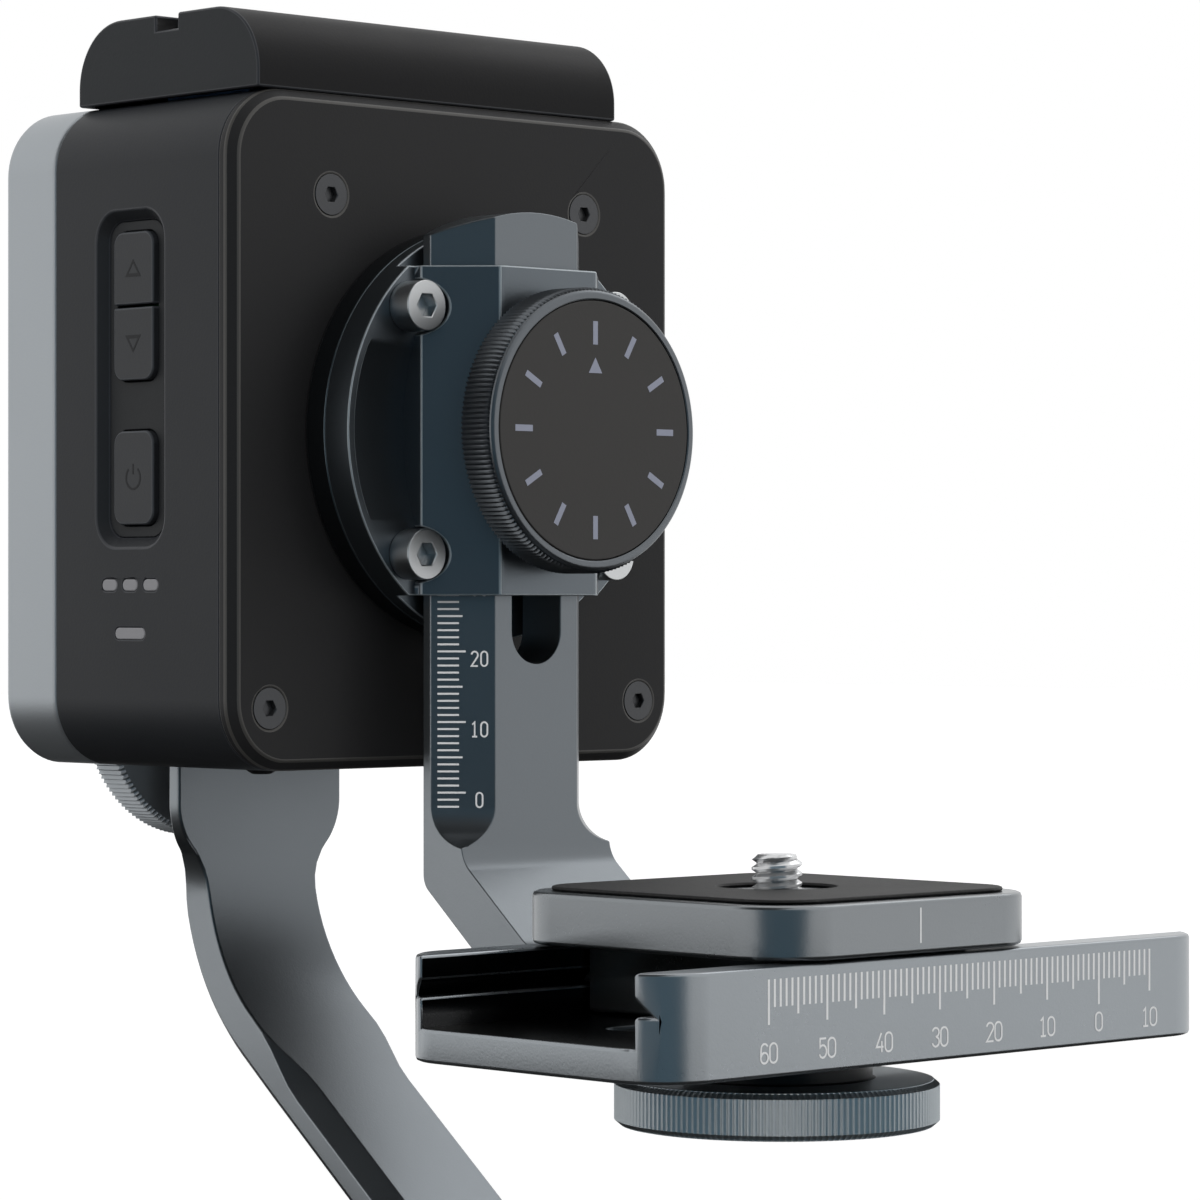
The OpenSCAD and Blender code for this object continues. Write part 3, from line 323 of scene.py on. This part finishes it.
def add_piece(name, mesh_data, look, body, place=Matrix.Identity(4), smooth=40):
    """Makes a piece from vertices in mm and faces, and lets it ride on a body."""
    mesh = bpy.data.meshes.new(name)
    verts, faces = mesh_data
    mesh.from_pydata([place @ (Vector(v) * MM) for v in verts], [], faces)
    mesh.materials.append(look)
    build = bmesh.new()
    build.from_mesh(mesh)
    bmesh.ops.remove_doubles(build, verts=build.verts, dist=1e-7)
    bmesh.ops.recalc_face_normals(build, faces=build.faces)
    build.to_mesh(mesh)
    build.free()
    obj = bpy.data.objects.new(name, mesh)
    bpy.context.scene.collection.objects.link(obj)
    mesh.shade_smooth()
    mesh.set_sharp_from_angle(angle=math.radians(smooth))
    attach(obj, body)
    return obj


def lathe(profile, teeth=0, deep=0.0, steps=96):
    """Revolves (radius, height, knurled) rows about Z; a knurled row, from 0 to 1, waves in radius."""
    count = teeth * 4 if teeth else steps
    wave = (0, 0.75, 1, 0.75)
    verts = []
    for r, z, knurled in profile:
        for i in range(count):
            a = 2 * math.pi * i / count
            rr = r - deep * knurled * wave[i % 4]
            verts.append((rr * math.cos(a), rr * math.sin(a), z))
    faces = []
    for row in range(len(profile) - 1):
        for i in range(count):
            j = (i + 1) % count
            faces.append((row * count + i, row * count + j, (row + 1) * count + j, (row + 1) * count + i))
    for row, flip in ((0, True), (len(profile) - 1, False)):
        ring = [row * count + i for i in range(count)]
        faces.append(tuple(reversed(ring)) if flip else tuple(ring))
    return verts, faces


def merged(*parts):
    verts, faces = [], []
    for v, f in parts:
        at = len(verts)
        verts += v
        faces += [tuple(i + at for i in face) for face in f]
    return verts, faces


def plate(outline, thick=PRINT_LIFT, low=PRINT_LOW):
    """Thin plate over a flat outline, from a little below its surface."""
    n = len(outline)
    verts = [(x, y, low) for x, y in outline] + [(x, y, thick) for x, y in outline]
    faces = [tuple(reversed(range(n))), tuple(range(n, 2 * n))]
    faces += [(i, (i + 1) % n, n + (i + 1) % n, n + i) for i in range(n)]
    return verts, faces


def bar(x0, y0, x1, y1):
    return plate([(x0, y0), (x1, y0), (x1, y1), (x0, y1)])


def arc(cx, cy, rx, ry, start, end, steps=10):
    """Points along an elliptic arc, angles in degrees."""
    angles = [math.radians(start + (end - start) * i / steps) for i in range(steps + 1)]
    return [(cx + rx * math.cos(a), cy + ry * math.sin(a)) for a in angles]


# Pen paths of the numerals in a box one wide and two high
NUMERALS = {
    "0": [arc(0.5, 1.5, 0.5, 0.5, 0, 180) + arc(0.5, 0.5, 0.5, 0.5, 180, 360) + [(1, 1.5)]],
    "1": [[(0.14, 1.66), (0.5, 2), (0.5, 0)], [(0.1, 0), (0.9, 0)]],
    "2": [arc(0.5, 1.5, 0.5, 0.5, 170, -30) + [(0, 0), (1, 0)]],
    "3": [arc(0.5, 1.52, 0.48, 0.48, 165, -80) + arc(0.5, 0.52, 0.5, 0.52, 80, -165)],
    "4": [[(0.7, 2), (0, 0.55), (1, 0.55)], [(0.74, 1.15), (0.74, 0)]],
    "5": [[(0.95, 2), (0.12, 2), (0.1, 1.1)] + arc(0.48, 0.66, 0.52, 0.66, 125, -155)],
    "6": [arc(0.52, 1.5, 0.46, 0.5, 25, 180) + arc(0.5, 0.55, 0.5, 0.55, 180, 530, 18)],
}
PEN = 0.24
PEN_RISE = 0.0015


def pen_line(points, width, lift):
    """Flat band of an even width along a path, which rises a little so that its crossings are clear."""
    left, right = [], []
    for i, (x, y) in enumerate(points):
        x0, y0 = points[max(i - 1, 0)]
        x1, y1 = points[min(i + 1, len(points) - 1)]
        a, b = Vector((x - x0, y - y0)), Vector((x1 - x, y1 - y))
        ends = [v.normalized() for v in (a, b) if v.length > 1e-9]
        run = sum(ends, Vector((0, 0))).normalized()
        grow = 1 / max(0.5, run.dot(ends[0]))
        side = Vector((-run.y, run.x)) * width / 2 * grow
        left.append((x + side.x, y + side.y))
        right.append((x - side.x, y - side.y))
    n = len(points)
    flat = left + right
    verts = [(x, y, PRINT_LOW) for x, y in flat]
    verts += [(x, y, lift + PEN_RISE * (i % n)) for i, (x, y) in enumerate(flat)]
    faces = []
    for i in range(n - 1):
        j = i + 1
        faces += [(2 * n + i, 2 * n + n + i, 2 * n + n + j, 2 * n + j), (i, j, n + j, n + i),
                  (i, 2 * n + i, 2 * n + j, j), (n + i, n + j, 3 * n + j, 3 * n + i)]
    for i in (0, n - 1):
        faces.append((i, n + i, 3 * n + i, 2 * n + i))
    return verts, faces


def words(text, height, wide, gap):
    """Numerals of a height in mm, centred across and up, as thin bands."""
    w = height * wide
    total = len(text) * w + (len(text) - 1) * gap * w
    parts = []
    for i, sign in enumerate(text):
        x0 = i * w * (1 + gap) - total / 2
        for k, path in enumerate(NUMERALS[sign]):
            points = [(x0 + x * w, (y / 2 - 0.5) * height) for x, y in path]
            parts.append(pen_line(points, PEN, PRINT_LIFT * (1 + k)))
    return merged(*parts)


def moved(data, dx, dy, dz=0.0):
    return [(x + dx, y + dy, z + dz) for x, y, z in data[0]], data[1]


def frame_on(origin, across, up):
    """Matrix that puts a flat drawing on a surface: across, up and out of it, origin in mm."""
    across, up = Vector(across).normalized(), Vector(up).normalized()
    out = across.cross(up)
    turn = Matrix((across, up, out)).transposed().to_4x4()
    return Matrix.Translation(Vector(origin) * MM) @ turn


dress_nodes()

# Painted shade: the rail's channel is darkened inside as if in shadow; the dark starts a little before its
# walls
rail_lo, rail_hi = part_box("rail")
CHANNEL_WALL, CHANNEL_FLOOR, GROOVE_DEEP, GROOVE_TOP, GROOVE_LOW = 5.2, 4.2, 1.9, 3.0, 5.1
CHANNEL_LIP, DARK_CLEAR = 0.4, 0.05
channel_half = rail_hi.y - CHANNEL_WALL * MM + DARK_CLEAR * MM
dark_hollow(rail_metal, [
    (channel_half, rail_lo.z + (CHANNEL_FLOOR - DARK_CLEAR) * MM, rail_hi.z - CHANNEL_LIP * MM),
    (channel_half + GROOVE_DEEP * MM, rail_hi.z - (GROOVE_LOW + DARK_CLEAR) * MM,
     rail_hi.z - GROOVE_TOP * MM),
], "141516")

# Clamp knobs: a knurled rim with a plain front ring, round the dark disc
KNOB_TEETH = 176
KNURL_DEEP = 0.45
knob_lo, knob_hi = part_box("pan_clamp_knob")
disc_lo, disc_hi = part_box("pan_knob_disc")
KNOB_R = (knob_hi.x - knob_lo.x) / 2 / MM
KNOB_TOP = knob_hi.z / MM
DISC_R = (disc_hi.x - disc_lo.x) / 2 / MM
DISC_TOP = disc_hi.z / MM
KNOB_T = 6.8
COLLAR_R = 12.0
COLLAR_T = 2.55
knob_low = KNOB_TOP - KNOB_T
knob_profile = [
    (COLLAR_R, knob_low - COLLAR_T, False), (COLLAR_R, knob_low - 0.2, False),
    (COLLAR_R + 0.4, knob_low, False), (KNOB_R - 1.3, knob_low, False),
    (KNOB_R - 0.7, knob_low + 0.15, True), (KNOB_R, knob_low + 0.7, True),
    (KNOB_R, knob_low + 2.8, 0.5), (KNOB_R, KNOB_TOP - 2.4, 0.5),
    (KNOB_R, KNOB_TOP - 1.05, True), (KNOB_R - 0.35, KNOB_TOP - 0.7, True),
    (KNOB_R - 0.45, KNOB_TOP - 0.6, False), (KNOB_R - 0.5, KNOB_TOP - 0.35, False),
    (KNOB_R - 0.8, KNOB_TOP - 0.06, False), (KNOB_R - 1.0, KNOB_TOP, False),
    (DISC_R + 0.3, KNOB_TOP, False), (DISC_R + 0.12, KNOB_TOP - 0.12, False),
    (DISC_R + 0.05, KNOB_TOP - 0.9, False), (DISC_R - 0.5, KNOB_TOP - 1.2, False),
]
# Dial bars and pointer of the disc: half widths in mm, ends as shares of the disc's radius
DISC_BARS = 12
BAR_HALF, BAR_FROM, BAR_TO = 0.45, 0.66, 0.84
POINTER_HALF, POINTER_FROM, POINTER_TO = 1.3, 0.44, 0.56
for unit in ("pan", "tilt"):
    rim = add_piece(f"{unit}_knob_rim", lathe(knob_profile, KNOB_TEETH, KNURL_DEEP), knob_metal,
                    f"{unit}_knob", UNIT[unit], 30)
    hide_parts(f"{unit}_clamp_knob")
    marks = []
    for i in range(DISC_BARS):
        turn = Matrix.Rotation(2 * math.pi * i / DISC_BARS, 4, "Z")
        verts, faces = bar(-BAR_HALF, DISC_R * BAR_FROM, BAR_HALF, DISC_R * BAR_TO)
        marks.append(([tuple(turn @ Vector(v)) for v in verts], faces))
    foot = DISC_R * POINTER_FROM
    marks.append(plate([(-POINTER_HALF, foot), (POINTER_HALF, foot), (0, DISC_R * POINTER_TO)]))
    add_piece(f"{unit}_disc_marks", moved(merged(*marks), 0, 0, DISC_TOP), dial_print,
              f"{unit}_knob", UNIT[unit])

# Knob behind the arm: a knurled silver grip on a collar
ARM_TEETH = 150
ARM_KNOB_T = 7.0
ARM_COLLAR_T = 3.55
arm_lo, arm_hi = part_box("arm_knob")
arm_knob_r = (arm_hi.x - arm_lo.x) / 2 / MM


def grip_profile(r, low, top, collar_low=None):
    """Rows of a knurled grip between two heights, with or without a collar below it."""
    rows = []
    if collar_low is not None:
        rows += [(COLLAR_R, collar_low, False), (COLLAR_R, low - 0.2, False), (COLLAR_R + 0.4, low, False)]
    rows += [
        (r - 1.4, low, False), (r - 0.8, low + 0.12, False), (r - 0.7, low + 0.2, True),
        (r, low + 0.8, True), (r, top - 0.8, True), (r - 0.7, top - 0.2, True),
        (r - 0.8, top - 0.12, False), (r - 1.4, top, False),
    ]
    return rows


arm_foot = (0, arm_hi.y / MM - ARM_KNOB_T - ARM_COLLAR_T, (arm_lo.z + arm_hi.z) / 2 / MM)
arm_place = frame_on(arm_foot, (-1, 0, 0), (0, 0, 1))
arm_rows = grip_profile(arm_knob_r, ARM_COLLAR_T, ARM_COLLAR_T + ARM_KNOB_T - 0.05, 0)
arm_grip = add_piece("arm_knob_grip", lathe(arm_rows, ARM_TEETH, KNURL_DEEP), silver,
                     "arm_knob", arm_place, 30)
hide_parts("arm_knob")

# Knob under the rail: a knurled grip and a collar above it, black as painted shade
RAIL_TEETH = 165
grip_lo, grip_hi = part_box("plate_knob")
grip_r = (grip_hi.x - grip_lo.x) / 2 / MM
RAIL_KNOB_T = 6.0
RAIL_KNURL_DEEP = 0.26
screw_x = (grip_lo.x + grip_hi.x) / 2 / MM
screw_place = Matrix.Translation((screw_x * MM, 0, 0))
collar_low = grip_lo.z / MM + RAIL_KNOB_T
rail_grip = add_piece(
    "plate_knob_grip",
    lathe(grip_profile(grip_r, grip_lo.z / MM, collar_low), RAIL_TEETH, RAIL_KNURL_DEEP),
    grip_metal_with_sheen, "plate_knob", screw_place, 30)
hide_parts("plate_knob")
collar = [
    (COLLAR_R + 0.4, collar_low - 0.2, False), (COLLAR_R + 0.4, collar_low, False),
    (COLLAR_R, collar_low + 0.2, False), (COLLAR_R, grip_hi.z / MM, False),
]
# Painted shade: the collar takes the black anodised look for the shadow it lies in
add_piece("plate_knob_collar", lathe(collar), table, "plate_knob", screw_place, 30)

# Camera screw: a plain shank and a cut thread with a chamfered end
THREAD_PITCH = 1.27
THREAD_DEEP = 0.62
screw_lo, screw_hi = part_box("camera_screw")
SCREW_R = (screw_hi.x - screw_lo.x) / 2 / MM
plate_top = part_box("camera_plate")[1].z / MM
SHANK_R = 2.8


def thread(r, low, top, pitch, deep, steps=48):
    """Helical thread between two heights; its rows follow the helix."""
    cuts = ((0.0, r - deep), (0.12, r - deep), (0.44, r), (0.68, r))
    rows = []
    turns = int((top - low) / pitch) + 3
    for turn in range(-2, turns):
        rows += [(turn + share, radius) for share, radius in cuts]
    verts, faces = [], []
    for share, radius in rows:
        for i in range(steps + 1):
            z = low + pitch * (share + i / steps)
            rr = radius
            if z > top - 0.7:
                rr = min(rr, r - 0.15 - (z - top + 0.7) * 0.9)
            z = min(max(z, low), top)
            a = 2 * math.pi * i / steps
            verts.append((max(rr, r - 1.0) * math.cos(a), max(rr, r - 1.0) * math.sin(a), z))
    wide = steps + 1
    for row in range(len(rows) - 1):
        for i in range(steps):
            faces.append((row * wide + i, row * wide + i + 1, (row + 1) * wide + i + 1, (row + 1) * wide + i))
    return verts, faces


screw_low, screw_top = screw_lo.z / MM, screw_hi.z / MM
thread_low = plate_top + 0.3
core_r = SCREW_R - THREAD_DEEP
shank = lathe([
    (SHANK_R, screw_low, False), (SHANK_R, thread_low, False), (core_r, plate_top + 0.4, False),
    (core_r, screw_top - 0.3, False), (SCREW_R - 1.1, screw_top, False),
], steps=48)
helix = thread(SCREW_R, thread_low, screw_top - 0.05, THREAD_PITCH, THREAD_DEEP)
screw = add_piece("camera_screw_thread", merged(shank, helix), thread_steel,
                  "plate_knob", screw_place, 35)
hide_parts("camera_screw")

# Millimetre scale on the bracket's left chamfer, zero at its lower end
CHAMFER = 6.5
LEG_BEHIND_CLAMP = 2.8
ZERO_DROP = 51.2
leg_lo, leg_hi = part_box("camera_bracket")
leg_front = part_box("tilt_clamp")[0].y / MM + LEG_BEHIND_CLAMP
chamfer_back = (leg_lo.x / MM, leg_front + CHAMFER)
tilt_height = UNIT["tilt"].translation.z / MM
SCALE_ZERO = tilt_height - ZERO_DROP
LEG_TICK_FROM, LEG_TICK_W = 1.0, 0.27
LEG_TICKS = {10: 4.0, 5: 3.55, 1: 3.05}
LEG_DIGIT_H, LEG_DIGIT_DROP = 2.05, 1.04
LEG_DIGIT_AT, LEG_DIGIT_WIDE, LEG_DIGIT_GAP = 6.95, 0.44, 0.5
LEG_FIRST, LEG_LAST = -2, 34


def tick_length(lengths, k):
    return next(length for step, length in lengths.items() if k % step == 0)


leg_place = frame_on((chamfer_back[0], chamfer_back[1], SCALE_ZERO), (1, -1, 0), (0, 0, 1))
marks = []
for k in range(LEG_FIRST, LEG_LAST + 1):
    tick_end = LEG_TICK_FROM + tick_length(LEG_TICKS, k)
    marks.append(bar(LEG_TICK_FROM, k - LEG_TICK_W / 2, tick_end, k + LEG_TICK_W / 2))
for k in range(0, LEG_LAST, 10):
    numeral = words(str(k), LEG_DIGIT_H, LEG_DIGIT_WIDE, LEG_DIGIT_GAP)
    marks.append(moved(numeral, LEG_DIGIT_AT, k - LEG_DIGIT_DROP))
add_piece("leg_scale", merged(*marks), white_print, "bracket", leg_place)

# Millimetre scale on the rail's front, read from its zero to the left
RAIL_TICK_W = 0.34
RAIL_TICK_TOP = 1.4
RAIL_TICKS = {10: 5.35, 5: 4.3, 1: 3.3}
ZERO_TICK = 6.5
RAIL_DIGIT_DROP = 7.55
RAIL_DIGIT_H, RAIL_DIGIT_WIDE, RAIL_DIGIT_GAP = 2.3, 0.54, 0.24
RAIL_FIRST, RAIL_LAST = -10, 60
rail_place = frame_on((0, rail_lo.y / MM, rail_hi.z / MM - RAIL_TICK_TOP), (1, 0, 0), (0, 0, 1))
marks = []
for k in range(RAIL_FIRST, RAIL_LAST + 1):
    length = ZERO_TICK if k == 0 else tick_length(RAIL_TICKS, k)
    marks.append(bar(-k - RAIL_TICK_W / 2, -length, -k + RAIL_TICK_W / 2, 0))
for k in range(RAIL_FIRST, RAIL_LAST + 1, 10):
    numeral = words(str(abs(k)), RAIL_DIGIT_H, RAIL_DIGIT_WIDE, RAIL_DIGIT_GAP)
    marks.append(moved(numeral, -k, -RAIL_DIGIT_DROP - RAIL_DIGIT_H / 2))
add_piece("rail_scale", merged(*marks), white_print, "bracket", rail_place)

# Index line on the plate's front
INDEX_L, INDEX_W, INDEX_TOP = 4.3, 0.25, 1.0
top_lo, top_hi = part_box("camera_plate")
index_z = top_hi.z / MM - INDEX_TOP
index_place = frame_on((screw_x, top_lo.y / MM, index_z), (1, 0, 0), (0, 0, 1))
add_piece("plate_index", bar(-INDEX_W / 2, -INDEX_L, INDEX_W / 2, 0), white_print,
          "plate", index_place)


# Signs on the keys: outlined triangles and a power sign
def ring2d(points, inner):
    """Flat band between two outlines with the same count of points."""
    n = len(points)
    heights = (PRINT_LOW, PRINT_LIFT)
    verts = [(x, y, h) for outline in (points, inner) for x, y in outline for h in heights]

    def at(ring, i, h):
        return ring * 2 * n + 2 * (i % n) + h

    faces = []
    for i in range(n):
        faces.append((at(0, i, 1), at(0, i + 1, 1), at(1, i + 1, 1), at(1, i, 1)))
        faces.append((at(0, i, 0), at(1, i, 0), at(1, i + 1, 0), at(0, i + 1, 0)))
        faces.append((at(0, i, 0), at(0, i + 1, 0), at(0, i + 1, 1), at(0, i, 1)))
        faces.append((at(1, i, 0), at(1, i, 1), at(1, i + 1, 1), at(1, i + 1, 0)))
    return verts, faces


def triangle(size, up):
    s = 1 if up else -1
    return [(-size * 0.72, -s * size * 0.5), (size * 0.72, -s * size * 0.5), (0, s * size * 0.5)]


def arc_band(r, w, start, end, steps=28):
    """Flat band along an arc, angles in degrees."""
    angles = [math.radians(start + (end - start) * i / steps) for i in range(steps + 1)]
    outer = [((r + w / 2) * math.cos(a), (r + w / 2) * math.sin(a)) for a in angles]
    inner = [((r - w / 2) * math.cos(a), (r - w / 2) * math.sin(a)) for a in reversed(angles)]
    return plate(outer + inner)


KEY_SIGNS = {
    "up": ring2d(triangle(2.5, True), triangle(1.5, True)),
    "down": ring2d(triangle(2.5, False), triangle(1.5, False)),
    "power": merged(arc_band(1.6, 0.32, 130, 410), bar(-0.16, 0.5, 0.16, 2.0)),
}
for unit in ("pan", "tilt"):
    for name, sign in KEY_SIGNS.items():
        lo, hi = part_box(f"{unit}_{name}_button")
        across = (0, -1, 0) if unit == "tilt" else (0, 0, 1)
        up = (0, 0, 1) if unit == "tilt" else (0, 1, 0)
        middle = (lo + hi) / 2 / MM
        sign_place = frame_on((lo.x / MM, middle.y, middle.z), across, up)
        add_piece(f"{unit}_{name}_sign", sign, key_print, f"{unit}_{name}_key", sign_place)

# World, lights, floor and camera
AIM = Vector((0, 0.06, 0.18))
scene = bpy.context.scene
scene.view_settings.view_transform = "Standard"


def seen_rays(tree):
    """1 for the rays that show the background: camera, glossy and transmission rays."""
    path = tree.nodes.new("ShaderNodeLightPath")
    first = tree.nodes.new("ShaderNodeMath")
    first.operation = "MAXIMUM"
    second = tree.nodes.new("ShaderNodeMath")
    second.operation = "MAXIMUM"
    tree.links.new(path.outputs["Is Camera Ray"], first.inputs[0])
    tree.links.new(path.outputs["Is Glossy Ray"], first.inputs[1])
    tree.links.new(first.outputs[0], second.inputs[0])
    tree.links.new(path.outputs["Is Transmission Ray"], second.inputs[1])
    return second.outputs[0]


WORLD_LIGHT = 0.55
world = bpy.data.worlds.new("studio")
scene.world = world
world.use_nodes = True
tree = world.node_tree
back = tree.nodes["Background"]
level = tree.nodes.new("ShaderNodeMapRange")
level.inputs["To Min"].default_value = WORLD_LIGHT
level.inputs["To Max"].default_value = 1.0
tree.links.new(seen_rays(tree), level.inputs["Value"])
tree.links.new(level.outputs["Result"], back.inputs["Strength"])
back.inputs["Color"].default_value = (1, 1, 1, 1)

FLOOR_SIZE = 14.0
FLOOR_DROP = 0.0005
# Own glow of the floor near the object and far from it, and the distances between which it grows
GLOW_NEAR, GLOW_FAR = 0.45, 0.75
NEAR, FAR = 0.3, 2.0
floor_mesh = bpy.data.meshes.new("floor")
h = FLOOR_SIZE / 2
floor_mesh.from_pydata([(-h, -h, 0), (h, -h, 0), (h, h, 0), (-h, h, 0)], [], [(0, 1, 2, 3)])
floor = bpy.data.objects.new("floor", floor_mesh)
scene.collection.objects.link(floor)
floor.location.z = -FLOOR_DROP
pale = bpy.data.materials.new("pale_floor")
pale.use_nodes = True
tree = pale.node_tree
shader = tree.nodes["Principled BSDF"]
shader.inputs["Base Color"].default_value = (0.55, 0.55, 0.55, 1)
shader.inputs["Roughness"].default_value = 0.9
shader.inputs["Specular IOR Level"].default_value = 0.1
shader.inputs["Emission Color"].default_value = (1, 1, 1, 1)
place = tree.nodes.new("ShaderNodeTexCoord")
away = tree.nodes.new("ShaderNodeVectorMath")
away.operation = "LENGTH"
tree.links.new(place.outputs["Object"], away.inputs[0])
# The lamps light the floor near the object, so its own glow grows with the distance
share = tree.nodes.new("ShaderNodeMapRange")
share.inputs["From Min"].default_value = NEAR
share.inputs["From Max"].default_value = FAR
share.inputs["To Min"].default_value = GLOW_NEAR
share.inputs["To Max"].default_value = GLOW_FAR
tree.links.new(away.outputs["Value"], share.inputs["Value"])
glow = tree.nodes.new("ShaderNodeMath")
glow.operation = "MULTIPLY"
tree.links.new(share.outputs["Result"], glow.inputs[1])
tree.links.new(seen_rays(tree), glow.inputs[0])
tree.links.new(glow.outputs[0], shader.inputs["Emission Strength"])
floor_mesh.materials.append(pale)


def add_light(name, at, size, power, mirrored=True):
    """Soft lamp aimed at the object; one that is not mirrored leaves no highlight."""
    data = bpy.data.lights.new(name, "AREA")
    data.shape = "RECTANGLE"
    data.size, data.size_y = size
    data.energy = power
    lamp = bpy.data.objects.new(name, data)
    lamp.location = at
    lamp.rotation_euler = (AIM - Vector(at)).to_track_quat("-Z", "Y").to_euler()
    lamp.visible_glossy = mirrored
    scene.collection.objects.link(lamp)


add_light("key", (-0.9, -0.5, 1.3), (0.9, 0.9), 9, False)
add_light("side", (1.1, -0.8, 0.85), (0.7, 0.8), 7, False)
add_light("rear", (-0.8, 1.2, 0.8), (0.9, 0.7), 6, False)


def add_card(name, at, size, colour, glow=0.0, flat=False):
    """Card that only reflections see, turned to the object or flat."""
    w, t = size[0] / 2, size[1] / 2
    mesh = bpy.data.meshes.new(name)
    mesh.from_pydata([(-w, -t, 0), (w, -t, 0), (w, t, 0), (-w, t, 0)], [], [(0, 1, 2, 3)])
    obj = bpy.data.objects.new(name, mesh)
    obj.location = at
    if not flat:
        obj.rotation_euler = (AIM - Vector(at)).to_track_quat("-Z", "Y").to_euler()
    scene.collection.objects.link(obj)
    look = bpy.data.materials.new(name)
    look.use_nodes = True
    shader = look.node_tree.nodes["Principled BSDF"]
    shader.inputs["Base Color"].default_value = colour
    shader.inputs["Roughness"].default_value = 1
    shader.inputs["Specular IOR Level"].default_value = 0
    shader.inputs["Emission Color"].default_value = colour
    shader.inputs["Emission Strength"].default_value = glow
    mesh.materials.append(look)
    for ray in ("camera", "diffuse", "transmission", "shadow", "volume_scatter"):
        setattr(obj, f"visible_{ray}", False)


add_card("dark_card", (-0.72, -0.78, 0.2), (1.7, 1.5), (0.07, 0.115, 0.145, 1), 1)
add_card("under_card", (-0.25, 0.05, 0.002), (1.2, 1.5), (0.02, 0.02, 0.02, 1), flat=True)
add_card("corner_card", (-0.62, -0.66, 0.003), (0.8, 0.8), (0.055, 0.1, 0.13, 1), 1, flat=True)
add_card("upper_card", (-0.5, -0.05, 0.85), (0.9, 0.9), (0.01, 0.012, 0.013, 1))
add_card("sky_card", (0.62, 0.1, 0.78), (0.4, 0.4), (1, 1, 1, 1), 1.6)

camera_data = bpy.data.cameras.new("camera")
camera_data.sensor_width = CAMERA_SENSOR
camera_data.lens = CAMERA_LENS
camera_data.clip_start = 0.01
camera_data.clip_end = 50
camera = bpy.data.objects.new("camera", camera_data)
camera.location = CAMERA_AT
camera.rotation_euler = (math.pi / 2, 0, CAMERA_TURN)
scene.collection.objects.link(camera)
scene.camera = camera

bpy.context.view_layer.update()
